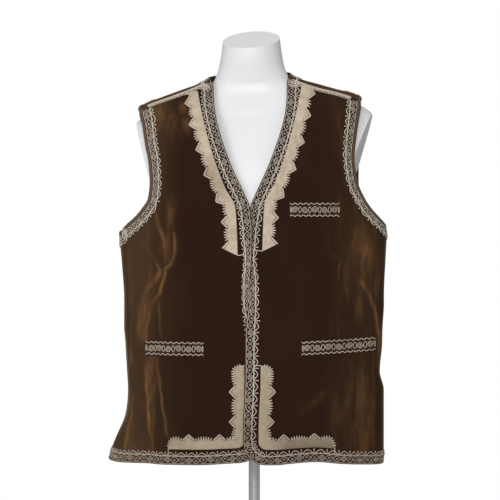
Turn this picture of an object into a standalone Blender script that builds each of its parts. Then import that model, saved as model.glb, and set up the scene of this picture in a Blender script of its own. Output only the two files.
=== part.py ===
"""A velvet waistcoat with leather applique, worn by a limbless dress form on a low stand.

Metres, +Z up. The front faces -Y and the wearer's left is +X. The origin is the centre of the
stand's foot, on the surface that it stands on.

The cloth is drawn on one surface. A point of it is named by its turn, the angle round from the
centre front (positive to the wearer's left, 180 degrees at the centre back), and by its height.
"""

import itertools
import math

import bmesh
import bpy
import mathutils
import numpy as np
from mathutils.bvhtree import BVHTree

# Cloth and leather
CLOTH = 0.0022
LEATHER = 0.0014
WELT = 0.0012
RESTING_GAP = 0.0010
LEAST_GAP = 0.0009
REACH = 0.009
SETTLE_ROUNDS = 5
SEAM_GAP = 0.0004

# Heights of the waistcoat
HEM = 0.270
UNDERARM = {"right": 0.6920, "left": 0.7060}
V_POINT = 0.7403
TIP_X = 0.2045
TIP_Y = -0.038
NECK_X = 0.0715
NECK_Y = -0.024
GARMENT_X = -0.008

# The fronts
CORNER_RADIUS = 0.038
EDGE_LIFT = 0.0052
CHANGE_OVER = 0.585
CHANGE_OVER_HALF = 0.011
OVERLAP_TOP = 0.81
OVERLAP_FROM_EDGE = (0.020, 0.085)

# The dress form and its stand
FORM_TURN = math.radians(-2.5)
FORM_BOTTOM = 0.300
CAP_CENTRE = (-0.005, 0.0, 1.0535)
CAP_NORMAL = (-0.055, -0.370, 0.927)
ARM_CUT_OUT = 0.2140
ARM_CUT_HEIGHT = 0.888
ARM_CUT_TILT = math.radians(18)
ARM_CUT_TURN = math.radians(-8)
FORM_X = 0.006
NECK_LEAN = -0.0035
POLE_RADIUS = 0.0105
POLE_SIDES = 32
FLANGE_RADIUS = 0.034
FLANGE_THICK = 0.010
BASE_RADIUS = 0.150
BASE_THICK = 0.008
COLLAR_RADIUS = 0.021
COLLAR_HEIGHT = 0.028
TOUCH = 0.0003
SMALL_BEVEL = 0.0015

# Rings of the cloth's outer side:
# height, half-width on the wearer's right, on the left, depth in front, depth behind, squareness
CLOTH_RINGS = np.array([
    (0.255, 0.2680, 0.2480, 0.131, 0.117, 2.5),
    (0.295, 0.2560, 0.2498, 0.129, 0.114, 2.5),
    (0.355, 0.2345, 0.2498, 0.126, 0.109, 2.5),
    (0.400, 0.2308, 0.2498, 0.123, 0.105, 2.6),
    (0.434, 0.2325, 0.2423, 0.121, 0.103, 2.6),
    (0.490, 0.2350, 0.2468, 0.119, 0.102, 2.7),
    (0.566, 0.2347, 0.2478, 0.118, 0.102, 2.8),
    (0.641, 0.2394, 0.2526, 0.118, 0.104, 2.8),
    (0.690, 0.2432, 0.2550, 0.118, 0.106, 2.8),
    (0.735, 0.2345, 0.2430, 0.118, 0.107, 2.7),
    (0.780, 0.2170, 0.2240, 0.117, 0.107, 2.6),
    (0.840, 0.2130, 0.2150, 0.109, 0.104, 2.7),
    (0.880, 0.2145, 0.2150, 0.099, 0.097, 2.8),
    (0.906, 0.2160, 0.2165, 0.085, 0.088, 3.0),
    (0.924, 0.2145, 0.2155, 0.071, 0.078, 3.2),
    (0.9340, 0.2095, 0.2105, 0.063, 0.071, 3.0),
    (0.9430, 0.1925, 0.1960, 0.056, 0.066, 2.7),
    (0.9530, 0.1640, 0.1640, 0.051, 0.063, 2.4),
    (0.9650, 0.1270, 0.1270, 0.047, 0.061, 2.2),
    (0.9750, 0.0960, 0.0960, 0.046, 0.061, 2.1),
    (0.9840, 0.0795, 0.0795, 0.046, 0.060, 2.0),
    (0.9940, 0.0700, 0.0700, 0.046, 0.060, 2.0),
    (1.0050, 0.0650, 0.0650, 0.046, 0.060, 2.0),
])
SHOULDER_LEAN = 0.043
LEAN_HEIGHTS = (0.72, 0.93)
SHOULDER_HEIGHTS = (0.88, 1.004)
HEM_WAVE_TOP = 0.36
CENTRE_TURN = 0.1

# How far the hem's line lies above or below its height: turn in degrees, offset
HEM_WAVE = np.array([
    (-180, 0.0000),
    (-90, 0.0022),
    (-65, 0.0016),
    (-40, 0.0008),
    (-6, 0.0050),
    (6, 0.0020),
    (20, 0.0014),
    (30, 0.0036),
    (44, 0.0062),
    (56, 0.0022),
    (70, -0.0028),
    (90, -0.0055),
    (180, 0.0000),
])

# The inner edges of the fronts: height, x of the wearer's right front's edge, x of the left one's.
# Below V_POINT they overlap, except where they change over, and above it they are the neckline.
FRONT_EDGES = np.array([
    (0.255, 0.0174, -0.0120),
    (0.330, 0.0174, -0.0120),
    (0.423, 0.0174, -0.0083),
    (0.496, 0.0143, -0.0080),
    (0.532, 0.0100, -0.0058),
    (0.570, -0.0013, -0.0007),
    (0.600, -0.0013, -0.0007),
    (0.632, 0.0010, -0.0040),
    (0.665, 0.0025, -0.0050),
    (0.6965, 0.0033, -0.0048),
    (0.7220, 0.0004, -0.0004),
    (0.7403, -0.0018, 0.0018),
    (0.7587, -0.0094, 0.0094),
    (0.8179, -0.0362, 0.0362),
    (0.8777, -0.0563, 0.0574),
    (0.9080, -0.0634, 0.0648),
    (0.9380, -0.0675, 0.0682),
    (0.9698, -0.0692, 0.0692),
])

# The armhole's edge as seen from the front: height, then how far out it is on the wearer's
# right front, right back, left front and left back
ARMHOLE = np.array([
    (0.6980, 0.2360, 0.2340, 0.2510, 0.2510),
    (0.7080, 0.2258, 0.2258, 0.2495, 0.2500),
    (0.7200, 0.2115, 0.2135, 0.2385, 0.2405),
    (0.7350, 0.1985, 0.2010, 0.2240, 0.2270),
    (0.7550, 0.1865, 0.1890, 0.2100, 0.2140),
    (0.7850, 0.1835, 0.1850, 0.1970, 0.2055),
    (0.8250, 0.1860, 0.1875, 0.1915, 0.2050),
    (0.8600, 0.1925, 0.1930, 0.1950, 0.2045),
    (0.9000, 0.1985, 0.1990, 0.2015, 0.2030),
])

# How far over the side seam's top the armhole's own rows start
ARMHOLE_START = 0.004

# The back's neckline: share of the way from one shoulder seam to the other, height over the seam
BACK_NECK = np.array([
    (0.00, 0.0000),
    (0.18, 0.0105),
    (0.50, -0.0040),
    (0.77, 0.0105),
    (1.00, 0.0000),
])

# Where the back's armhole passes over the shoulder: x and y of the plan
OVER_SHOULDER = ((0.2000, 0.034), (0.2035, 0.008), (0.2045, -0.016))

# The largest folds: turn at the top and at the bottom, in degrees, height at the top and at the
# bottom, half-width in degrees, and how far it stands out (or in, if negative).
FOLDS = np.array([
    (-63, -62, 0.700, 0.262, 4.5, -0.0085),
    (-74, -73, 0.680, 0.262, 5.0, 0.0040),
    (-52, -54, 0.600, 0.262, 4.5, 0.0030),
    (-85, -86, 0.520, 0.380, 7.0, -0.0045),
    (58, 68, 0.700, 0.560, 6.0, -0.0045),
    (72, 80, 0.690, 0.560, 6.0, 0.0040),
    (60, 57, 0.430, 0.262, 5.5, 0.0055),
    (70, 68, 0.440, 0.262, 4.5, -0.0065),
    (118, 122, 0.640, 0.262, 7.0, -0.0060),
    (140, 136, 0.560, 0.262, 8.0, 0.0060),
    (172, 168, 0.600, 0.262, 10.0, -0.0050),
    (-150, -154, 0.600, 0.262, 9.0, 0.0065),
    (-128, -132, 0.580, 0.262, 8.0, -0.0060),
    (-108, -110, 0.660, 0.262, 6.0, 0.0040),
])
FOLD_FADE = 0.06

# The dress form: height, half-width, depth in front, depth behind, squareness
FORM_RINGS = np.array([
    (0.300, 0.140, 0.080, 0.078, 2.3),
    (0.304, 0.155, 0.092, 0.088, 2.3),
    (0.316, 0.166, 0.100, 0.095, 2.3),
    (0.360, 0.172, 0.104, 0.094, 2.3),
    (0.440, 0.164, 0.101, 0.089, 2.3),
    (0.520, 0.150, 0.098, 0.086, 2.3),
    (0.600, 0.153, 0.102, 0.089, 2.3),
    (0.680, 0.166, 0.107, 0.094, 2.3),
    (0.740, 0.180, 0.108, 0.096, 2.3),
    (0.780, 0.208, 0.100, 0.089, 2.1),
    (0.820, 0.233, 0.092, 0.080, 2.0),
    (0.866, 0.235, 0.076, 0.070, 2.0),
    (0.893, 0.229, 0.064, 0.064, 2.0),
    (0.907, 0.220, 0.056, 0.060, 2.1),
    (0.920, 0.202, 0.052, 0.060, 2.2),
    (0.9315, 0.178, 0.046, 0.055, 2.2),
    (0.9435, 0.150, 0.041, 0.052, 2.2),
    (0.9565, 0.112, 0.038, 0.050, 2.1),
    (0.9665, 0.087, 0.038, 0.050, 2.0),
    (0.9770, 0.0725, 0.040, 0.051, 2.0),
    (0.9920, 0.0645, 0.043, 0.052, 2.0),
    (1.0040, 0.0608, 0.046, 0.052, 2.0),
    (1.0250, 0.0570, 0.049, 0.052, 2.0),
    (1.0550, 0.0532, 0.051, 0.051, 2.0),
    (1.0850, 0.0510, 0.051, 0.051, 2.0),
])
FORM_SIDES = 36

# How finely the panels are divided: their columns, and their rows in three parts, which meet the
# side seam's top and the armhole's bend at one edge, and these heights at the other
FRONT_COLUMNS = 14
BACK_NECK_COLUMNS = 9
ROWS = (17, 6, 10)
EDGE_SPLIT = 0.600
ARMHOLE_BEND = 0.755
BACK_LINE_X = 0.105
BACK_LINE_TOP = 0.965
BEND_LENGTH = 0.05

# The leather's outer edge: a point, a round scallop, a point, and so on along a strap
STRAP_WIDTH = 0.0155
SCALLOP_RISE = 0.0050
POINT_RISE = 0.0115
POINT_HALF = 0.0125
STATION_SHARES = (0.0, 0.12, 0.5, 0.88, 1.0)

# The neck's straps. The line beside the border: height, x. Then the heights of the ends and of
# the points, on the wearer's right. The left strap is a little higher.
STRAP_LINE = np.array([
    (0.6300, 0.0220),
    (0.7000, 0.0245),
    (0.7374, 0.0270),
    (0.7730, 0.0455),
    (0.8490, 0.0722),
    (0.9090, 0.0875),
    (0.9600, 0.0975),
])
STRAP_TOP = {"right": 0.9575, "left": 0.9520}
STRAP_END = 0.6500
NECK_POINTS = (0.9390, 0.8985, 0.8520, 0.8060, 0.7600, 0.7120, 0.6640)
LEFT_STRAP_RAISED = 0.0080

# The hem's corner pieces: where the points are along each arm, and the arms' ends
UP_POINTS = (0.0504, 0.1048)
UP_END = 0.153
SIDE_POINTS = (0.0446, 0.1004)
SIDE_END = 0.137
ROUND_CORNER = 0.014
ROUND_END = 0.010
CORNER_BORDER = 0.0280
CORNER_LIFT = 0.0280

# The pockets' welts: panel, name, x of the end nearest the front edge, height of its middle,
# length, and how far its far end rises
WELTS = (
    ("right", "pocket_welt_right", -0.0830, 0.4800, 0.111, 0.001),
    ("left", "pocket_welt_left", 0.0925, 0.4810, 0.138, 0.007),
    ("left", "pocket_welt_chest", 0.0715, 0.7330, 0.092, 0.000),
)
WELT_HEIGHT = 0.026
WELT_COLUMNS = 14
BINDING_WIDTH = 0.0072
BINDING_INSET = 0.0012
BINDING_STATIONS = 60


def smooth(at, table, column):
    """A table's column, read between its rows by a monotone cubic."""
    rows, values = table[:, 0], table[:, column]
    gaps = np.diff(rows)
    slopes = np.diff(values) / gaps
    before, after = slopes[:-1], slopes[1:]
    same_way = before * after > 0
    mean = np.where(same_way, 2 * before * after / np.where(same_way, before + after, 1), 0)
    tangents = np.concatenate([slopes[:1], mean, slopes[-1:]])
    at = np.clip(at, rows[0], rows[-1])
    row = np.clip(np.searchsorted(rows, at) - 1, 0, len(gaps) - 1)
    t = (at - rows[row]) / gaps[row]
    start = (1 + 2 * t) * (1 - t) ** 2 * values[row] + t * (1 - t) ** 2 * gaps[row] * tangents[row]
    end = t * t * (3 - 2 * t) * values[row + 1] + t * t * (t - 1) * gaps[row] * tangents[row + 1]
    return start + end


def ramp(value, low, high):
    """0 below low, 1 above high, and a smooth step between."""
    t = np.clip((value - low) / (high - low), 0, 1)
    return t * t * (3 - 2 * t)


def radius(turn, side, depth, squareness):
    """How far a squared oval is from its centre at a turn."""
    across = np.abs(np.sin(turn) / side) ** squareness
    along = np.abs(np.cos(turn) / depth) ** squareness
    return (across + along) ** (-1 / squareness)


def cloth_ring(turn, height):
    """Half-width, depth and squareness of the cloth's ring on the side that the turn is on."""
    right, left, front, back, squareness = (smooth(height, CLOTH_RINGS, c) for c in range(1, 6))
    side = np.where(np.sin(turn) < 0, right, left)
    depth = np.where(np.cos(turn) > 0, front, back)
    return side, depth, squareness


def fold(turn, height):
    """How far the folds move the cloth outwards."""
    total = np.zeros(np.broadcast(turn, height).shape)
    for turn_top, turn_bottom, top, bottom, half_width, depth in FOLDS:
        share = np.clip((top - height) / (top - bottom), 0, 1)
        middle = turn_top + (turn_bottom - turn_top) * share
        away = (np.degrees(turn) - middle + 180) % 360 - 180
        length = ramp(share, 0, 0.35)
        if bottom > HEM:
            length = length * ramp(height, bottom - FOLD_FADE, bottom)
        total = total + depth * length * np.exp(-((away / half_width) ** 2))
    return total


def edge_lift(turn, height, x):
    """How far the upper front's edge stands out over the lower one's."""
    low, high = CHANGE_OVER - CHANGE_OVER_HALF, CHANGE_OVER + CHANGE_OVER_HALF
    right_on_top = ramp(height, low, high) * (1 - ramp(height, V_POINT, OVERLAP_TOP))
    left_on_top = 1 - ramp(height, low, high)
    near_edge = 1 - ramp(np.abs(x), *OVERLAP_FROM_EDGE)
    in_front = np.cos(turn) > 0
    return EDGE_LIFT * near_edge * in_front, right_on_top, left_on_top


def cloth(turn, height, panel=""):
    """Points of the cloth's outer side. panel is 'right' or 'left' on a front, for its overlap."""
    turn, height = np.broadcast_arrays(np.asarray(turn, float), np.asarray(height, float))
    side, depth, squareness = cloth_ring(turn, height)
    r = radius(turn, side, depth, squareness)
    x, y = r * np.sin(turn), -r * np.cos(turn)
    out_x = np.sign(x) * np.abs(x / side) ** (squareness - 1) / side
    out_y = np.sign(y) * np.abs(y / depth) ** (squareness - 1) / depth
    length = np.hypot(out_x, out_y)
    push = fold(turn, height)
    lift, right_on_top, left_on_top = edge_lift(turn, height, x)
    if panel == "right":
        push = push + lift * right_on_top
    if panel == "left":
        push = push + lift * left_on_top
    x, y = x + push * out_x / length, y + push * out_y / length
    wave = smooth(np.degrees(np.arctan2(np.sin(turn), np.cos(turn))), HEM_WAVE, 1)
    z = height + SHOULDER_LEAN * x * ramp(height, *LEAN_HEIGHTS)
    z = z + wave * (1 - ramp(height, HEM, HEM_WAVE_TOP))
    return np.stack([x + GARMENT_X, y, z], axis=-1)


def outward(turn, height, panel=""):
    """Unit normals of the cloth."""
    step = 1e-4
    round_it = cloth(turn + step, height, panel) - cloth(turn - step, height, panel)
    up = cloth(turn, height + step, panel) - cloth(turn, height - step, panel)
    normal = np.cross(round_it, up)
    return normal / np.linalg.norm(normal, axis=-1, keepdims=True)


def turn_at_x(x, height, behind=False):
    """The turn at which the ring at a height is at x, on the front or behind."""
    x, height = np.broadcast_arrays(np.asarray(x, float), np.asarray(height, float))
    near_middle = math.pi - CENTRE_TURN if behind else CENTRE_TURN
    side, depth, squareness = cloth_ring(np.where(x < 0, -near_middle, near_middle), height)
    y = depth * (1 - np.clip(np.abs(x / side), 0, 1) ** squareness) ** (1 / squareness)
    return np.arctan2(x, -y if behind else y)


def height_over(x, y):
    """The height of the shoulder's surface over a point of the plan, and its turn."""
    turn = math.atan2(x, -y)
    low, high = SHOULDER_HEIGHTS
    for _ in range(40):
        middle = (low + high) / 2
        side, depth, squareness = cloth_ring(turn, middle)
        inside = math.hypot(x, y) < radius(turn, side, depth, squareness)
        low, high = (middle, high) if inside else (low, middle)
    return turn, (low + high) / 2


def evenly(curve, count, panel=""):
    """A curve of (turn, height) resampled to count points, closer together where it bends."""
    curve = np.array(curve, float)
    points = cloth(curve[:, 0], curve[:, 1], panel)
    normals = outward(curve[:, 0], curve[:, 1], panel)
    steps = np.linalg.norm(np.diff(points, axis=0), axis=1)
    steps = steps + BEND_LENGTH * np.linalg.norm(np.diff(normals, axis=0), axis=1)
    along = np.concatenate([[0], np.cumsum(steps)])
    at = np.linspace(0, along[-1], count)
    return np.stack([np.interp(at, along, curve[:, k]) for k in range(2)], axis=1)


def patch(inner, outer, bottom, top):
    """A Coons patch of (turn, height) between four curves that share their ends."""
    u = np.linspace(0, 1, len(bottom))[None, :, None]
    v = np.linspace(0, 1, len(inner))[:, None, None]
    across = (1 - u) * inner[:, None] + u * outer[:, None]
    upward = (1 - v) * bottom[None] + v * top[None]
    corners = (1 - u) * (1 - v) * inner[0] + u * (1 - v) * outer[0]
    corners = corners + (1 - u) * v * inner[-1] + u * v * outer[-1]
    return across + upward - corners


def wall(name, outside, inside, material):
    """A closed wall between two grids of points of the same shape."""
    rows, columns = outside.shape[:2]
    mesh = bmesh.new()
    skins = [
        [[mesh.verts.new(p) for p in row] for row in grid] for grid in (outside, inside)
    ]
    for row in range(rows - 1):
        for column in range(columns - 1):
            cell = ((row, column), (row, column + 1), (row + 1, column + 1), (row + 1, column))
            mesh.faces.new([skins[0][r][c] for r, c in cell])
            mesh.faces.new([skins[1][r][c] for r, c in reversed(cell)])
    rim = [(0, c) for c in range(columns)]
    rim += [(r, columns - 1) for r in range(1, rows)]
    rim += [(rows - 1, c) for c in range(columns - 2, -1, -1)]
    rim += [(r, 0) for r in range(rows - 2, 0, -1)]
    for (r0, c0), (r1, c1) in zip(rim, rim[1:] + rim[:1]):
        mesh.faces.new([skins[0][r0][c0], skins[1][r0][c0], skins[1][r1][c1], skins[0][r1][c1]])
    bmesh.ops.recalc_face_normals(mesh, faces=mesh.faces)
    return make_object(name, mesh, material)


def make_object(name, mesh, material):
    """A smooth-shaded object of the garment's collection, from a bmesh."""
    data = bpy.data.meshes.new(name)
    mesh.to_mesh(data)
    mesh.free()
    data.materials.append(material)
    data.shade_smooth()
    data.set_sharp_from_angle(angle=math.radians(40))
    made = bpy.data.objects.new(name, data)
    bpy.data.collections["waistcoat_on_dress_form"].objects.link(made)
    return made


def cloth_wall(name, grid, panel, material):
    """A panel of cloth over a grid of (turn, height)."""
    turn, height = grid[..., 0], grid[..., 1]
    outside = cloth(turn, height, panel)
    inside = outside - CLOTH * outward(turn, height, panel)
    return wall(name, outside, inside, material)


def panel_tree(*names):
    """A search tree over the faces of some panels."""
    points, faces = [], []
    for name in names:
        mesh = bpy.data.objects[name].data
        faces += [[len(points) + v for v in face.vertices] for face in mesh.polygons]
        points += [vertex.co.copy() for vertex in mesh.vertices]
    return BVHTree.FromPolygons(points, faces)


def height_above(tree, point, normal):
    """How far a point is above the panels, along a normal."""
    out = mathutils.Vector(normal)
    distance = tree.ray_cast(mathutils.Vector(point) + REACH * out, -out, 2 * REACH)[3]
    return RESTING_GAP if distance is None else distance - REACH


def settled(tree, turn, height, panel=""):
    """Points of the cloth raised until the faces between them clear the panels; normals."""
    base, normal = cloth(turn, height, panel), outward(turn, height, panel)
    raised = np.full(turn.shape, RESTING_GAP)
    for _ in range(SETTLE_ROUNDS):
        raised = raised + shortfall(tree, base + raised[..., None] * normal, normal)
    return base + raised[..., None] * normal, normal


def shortfall(tree, points, normal):
    """How much higher each point of a grid must be for its faces to clear the panels."""
    short = np.zeros(points.shape[:2])
    for row, column in np.ndindex(points.shape[0] - 1, points.shape[1] - 1):
        corners = np.s_[row:row + 2, column:column + 2]
        for u, v in itertools.product((0, 0.33, 0.67, 1), repeat=2):
            share = np.outer((1 - u, u), (1 - v, v))[..., None]
            point = (share * points[corners]).sum((0, 1))
            out = (share * normal[corners]).sum((0, 1))
            missing = LEAST_GAP - height_above(tree, point, out / np.linalg.norm(out))
            short[corners] = np.maximum(short[corners], missing)
    return short


def lying_wall(name, x, height, panel, thickness, material):
    """A piece that lies on a front, over a grid of points seen from the front."""
    turn = turn_at_x(x, height)
    low, normal = settled(panel_tree(f"front_{panel}"), turn, height, panel)
    return wall(name, low + thickness * normal, low, material)


def plain_material(name, colour, roughness, metallic=0.0):
    """A Principled material of one colour."""
    made = bpy.data.materials.new(name)
    made.use_nodes = True
    shader = made.node_tree.nodes["Principled BSDF"]
    shader.inputs["Base Color"].default_value = (*colour, 1.0)
    shader.inputs["Roughness"].default_value = roughness
    shader.inputs["Metallic"].default_value = metallic
    return made


def sign_of(panel):
    """+1 on the wearer's left, which is +X, and -1 on the right."""
    return 1 if panel == "left" else -1


def edge_x(height, panel):
    """x of a front's inner edge."""
    return smooth(height, FRONT_EDGES, 2 if panel == "left" else 1)


def inner_edge(panel):
    """A front's inner edge, from the middle of its round corner to the neck."""
    sign, count = sign_of(panel), 60
    angles = np.linspace(math.radians(45), math.radians(90), 12)
    rounded = HEM + CORNER_RADIUS * (1 - np.cos(angles))
    straight = np.linspace(HEM + CORNER_RADIUS, V_POINT, count)[1:]
    sloping = np.linspace(V_POINT, FRONT_EDGES[-1, 0], count)[1:]
    heights = np.concatenate([rounded, straight, sloping])
    x = edge_x(heights, panel)
    x[:len(angles)] += sign * CORNER_RADIUS * (1 - np.sin(angles))
    neck = height_over(sign * NECK_X, NECK_Y)
    return np.concatenate([np.stack([turn_at_x(x, heights), heights], 1), [neck]])


def bottom_edge(panel, start):
    """A front's hem, from the middle of its round corner to the side seam."""
    sign, count = sign_of(panel), 40
    angles = np.linspace(math.radians(45), 0, 12)
    heights = HEM + CORNER_RADIUS * (1 - np.cos(angles))
    x = edge_x(heights, panel) + sign * CORNER_RADIUS * (1 - np.sin(angles))
    curve = [tuple(start)] + [(turn_at_x(a, h), h) for a, h in zip(x[1:], heights[1:])]
    turns = np.linspace(curve[-1][0], sign * math.pi / 2, count)[1:]
    return np.array(curve + [(t, HEM) for t in turns], float)


def armhole(panel, behind):
    """The armhole's edge from under the arm to the shoulder seam, on a front or on the back."""
    sign = sign_of(panel)
    column = (3 if panel == "left" else 1) + behind
    heights = np.linspace(UNDERARM[panel] + ARMHOLE_START, ARMHOLE[-1, 0], 40)
    x = sign * smooth(heights, ARMHOLE, column)
    curve = [(sign * math.pi / 2, UNDERARM[panel])]
    curve += list(zip(turn_at_x(x, heights, behind), heights))
    if behind:
        curve += [height_over(sign * x, y) for x, y in OVER_SHOULDER]
    return np.array(curve + [height_over(sign * TIP_X, TIP_Y)], float)


def shoulder_seam(panel):
    """The shoulder seam from the neck to the tip of the shoulder."""
    sign = sign_of(panel)
    shares = np.linspace(0, 1, 24)
    points = [(NECK_X + (TIP_X - NECK_X) * t, NECK_Y + (TIP_Y - NECK_Y) * t) for t in shares]
    return np.array([height_over(sign * x, y) for x, y in points], float)


def side_seam(panel):
    """The side seam from the hem to under the arm."""
    turn = sign_of(panel) * math.pi / 2
    return np.array([(turn, HEM), (turn, UNDERARM[panel])])


def divided(curve, splits, panel=""):
    """A curve resampled for the panels' rows, in three parts that meet at two heights."""
    ends = [int(np.abs(curve[:, 1] - height).argmin()) for height in splits]
    ends = [0, *ends, len(curve) - 1]
    parts = [
        evenly(curve[low:high + 1], count + 1, panel)
        for low, high, count in zip(ends, ends[1:], ROWS)
    ]
    return np.concatenate([parts[0], parts[1][1:], parts[2][1:]])


def outer_edge(panel, behind):
    """A panel's side seam and armhole, resampled for its rows."""
    curve = np.concatenate([side_seam(panel), armhole(panel, behind)[1:]])
    return divided(curve, (UNDERARM[panel], ARMHOLE_BEND), "" if behind else panel)


def front_grid(panel):
    """The (turn, height) grid of a front: rows upwards, columns from the front edge outwards."""
    inner = divided(inner_edge(panel), (EDGE_SPLIT, V_POINT), panel)
    bottom = evenly(bottom_edge(panel, inner[0]), FRONT_COLUMNS + 1, panel)
    top = evenly(shoulder_seam(panel), FRONT_COLUMNS + 1, panel)
    return patch(inner, outer_edge(panel, behind=False), bottom, top)


def back_neck():
    """The back's neckline, from the wearer's left to the right, with turns from 0 to 2 pi."""
    left, right = shoulder_seam("left")[0], shoulder_seam("right")[0]
    share = np.linspace(0, 1, 80)
    turns = left[0] + (right[0] + 2 * math.pi - left[0]) * share
    return np.stack([turns, left[1] + smooth(share, BACK_NECK, 1)], axis=1)


def back_line(panel):
    """A line down the back, from the hem to the corner of the neck, resampled for the rows."""
    heights = np.linspace(HEM, BACK_LINE_TOP, 200)
    turns = turn_at_x(sign_of(panel) * BACK_LINE_X, heights, behind=True)
    curve = np.concatenate([np.stack([turns, heights], 1), shoulder_seam(panel)[:1]])
    return divided(curve, (EDGE_SPLIT, ARMHOLE_BEND))


def hem_between(start, end, count):
    """The hem from one turn to another, at even steps."""
    return evenly([(turn, HEM) for turn in np.linspace(start, end, 60)], count + 1)


def back_side(panel):
    """The (turn, height) grid of the back beside its line, columns from the side inwards."""
    outer, inner = outer_edge(panel, behind=True), back_line(panel)
    bottom = hem_between(outer[0, 0], inner[0, 0], FRONT_COLUMNS)
    return patch(outer, inner, bottom, evenly(shoulder_seam(panel)[::-1], FRONT_COLUMNS + 1))


def back_grid():
    """The (turn, height) grid of the back, from the wearer's left side seam round to the right."""
    left, right = back_side("left"), back_side("right")[:, ::-1]
    right[..., 0] += 2 * math.pi
    bottom = hem_between(left[0, -1, 0], right[0, 0, 0], BACK_NECK_COLUMNS)
    top = evenly(back_neck(), BACK_NECK_COLUMNS + 1)
    middle = patch(left[:, -1], right[:, 0], bottom, top)
    return np.concatenate([left, middle[:, 1:-1], right], axis=1)


def shortened(grid, end):
    """A grid whose first or last column stops half a seam gap short."""
    grid = grid.copy()
    edge, behind = grid[:, end], grid[:, 1 if end == 0 else -2]
    gap = cloth(edge[:, 0], edge[:, 1]) - cloth(behind[:, 0], behind[:, 1])
    share = SEAM_GAP / 2 / np.linalg.norm(gap, axis=-1)
    grid[:, end] = edge + (behind - edge) * share[:, None]
    return grid


def lowered(grid):
    """A grid whose top row stops half a seam gap short."""
    return shortened(grid.transpose(1, 0, 2), -1).transpose(1, 0, 2)


def front(panel, velvet):
    """One front, a seam gap short of the side seam and of the shoulder seam."""
    return cloth_wall(f"front_{panel}", lowered(shortened(front_grid(panel), -1)), panel, velvet)


def back(velvet):
    """The back, a seam gap short of both fronts."""
    return cloth_wall("back", lowered(shortened(shortened(back_grid(), 0), -1)), "", velvet)


def rise(along, points, end):
    """How far a strap's outer edge stands out: its points, with round scallops between them."""
    nearest = min(points, key=lambda point: abs(point - along))
    if abs(along - nearest) < POINT_HALF:
        return POINT_RISE * (1 - abs(along - nearest) / POINT_HALF)
    starts = [0.0] + [point + POINT_HALF for point in points]
    ends = [point - POINT_HALF for point in points] + [end]
    for low, high in zip(starts, ends):
        if low <= along <= high:
            across = 2 * (along - low) / (high - low) - 1
            return SCALLOP_RISE * math.sqrt(max(0.0, 1 - across * across))
    return 0.0


def stations(points, end):
    """Places along a strap that keep the shape of its points and scallops."""
    starts = [0.0] + [point + POINT_HALF for point in points]
    ends = [point - POINT_HALF for point in points] + [end]
    places = set(points)
    for low, high in zip(starts, ends):
        places.update(low + (high - low) * share for share in STATION_SHARES if high > low)
    return sorted(place for place in places if 0 <= place <= end)


def neck_strap(panel, places):
    """Inner and outer ends (x, height) of rows across the neck's strap, from the top down."""
    sign = sign_of(panel)
    raised = LEFT_STRAP_RAISED if panel == "left" else 0.0
    points = [STRAP_TOP[panel] - point for point in NECK_POINTS]
    rows = []
    for along in places:
        height = STRAP_TOP[panel] - along
        turned_in = (STRAP_END - NECK_POINTS[-1]) * (1 - ramp(height, NECK_POINTS[-1], V_POINT))
        inner = np.array([strap_x(height + turned_in), height + turned_in])
        run = strap_x(height + 0.02) - strap_x(height - 0.02)
        across = np.array([0.04, -run]) / math.hypot(0.04, run)
        start = np.array([strap_x(height), height])
        outer = start + across * (STRAP_WIDTH + rise(along, points, places[-1] + POINT_HALF))
        rows.append([inner, outer])
    rows = np.array(rows)
    rows[..., 1] += raised
    rows[..., 0] *= sign
    return rows


def strap_x(height):
    """x of the line that the neck's straps follow."""
    return float(smooth(height, STRAP_LINE, 1))


def hem_corner(panel, up_places, side_places):
    """Inner and outer ends (x, height) of rows across the hem's corner piece."""
    up = [arm_row(along, UP_POINTS, UP_END) for along in reversed(up_places)]
    side = [arm_row(along, SIDE_POINTS, SIDE_END) for along in side_places]
    rows = [[(inner, along), (outer, along)] for along, inner, outer in up]
    turn = [math.radians(angle) for angle in (30, 60)]
    middle = [(ROUND_CORNER * (1 - math.cos(a)), ROUND_CORNER * (1 - math.sin(a))) for a in turn]
    nook = STRAP_WIDTH + SCALLOP_RISE * 0.3
    rows += [[middle[0], (nook, nook + 0.0015)], [middle[1], (nook + 0.0015, nook)]]
    rows += [[(along, inner), (along, outer)] for along, inner, outer in side]
    rows = np.array(rows)
    rows[..., 1] += HEM + CORNER_LIFT
    edge = edge_x(rows[..., 1], panel)
    rows[..., 0] = edge + sign_of(panel) * (CORNER_BORDER + rows[..., 0])
    return rows


def arm_row(along, points, end):
    """One row of a corner piece's arm: where it is, and its inner and outer distances."""
    outer = STRAP_WIDTH + rise(along, points, end)
    to_end = end - along
    if to_end < ROUND_END:
        outer *= math.sqrt(max(0.04, 1 - (1 - to_end / ROUND_END) ** 2))
    return along, 0.0, outer


def rows_to_grid(rows, columns):
    """Points (x, height) at even shares between each row's ends."""
    shares = np.linspace(0, 1, columns)[None, :, None]
    return rows[:, :1] * (1 - shares) + rows[:, 1:] * shares


def leather_piece(name, rows, panel, leather):
    """A strap of leather on a front."""
    grid = rows_to_grid(rows, 4)
    return lying_wall(name, grid[..., 0], grid[..., 1], panel, LEATHER, leather)


def corner_places(points, end):
    """Stations along one arm of a corner piece, past its round corner."""
    places = [place for place in stations(points, end) if place > STRAP_WIDTH + 0.004]
    last = [end - ROUND_END * share for share in (0.7, 0.35, 0.1)]
    return [ROUND_CORNER + 0.003] + [p for p in places if p < end - ROUND_END] + last + [end]


def welt(panel, name, start, height, length, lift, velvet):
    """A pocket's welt: a flat strip of velvet on a front."""
    shares = np.linspace(0, 1, WELT_COLUMNS)[:, None]
    x = start + sign_of(panel) * length * shares
    heights = height + lift * shares + WELT_HEIGHT * np.linspace(-0.5, 0.5, 4)[None, :]
    return lying_wall(name, x + 0 * heights, heights, panel, WELT, velvet)


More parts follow.
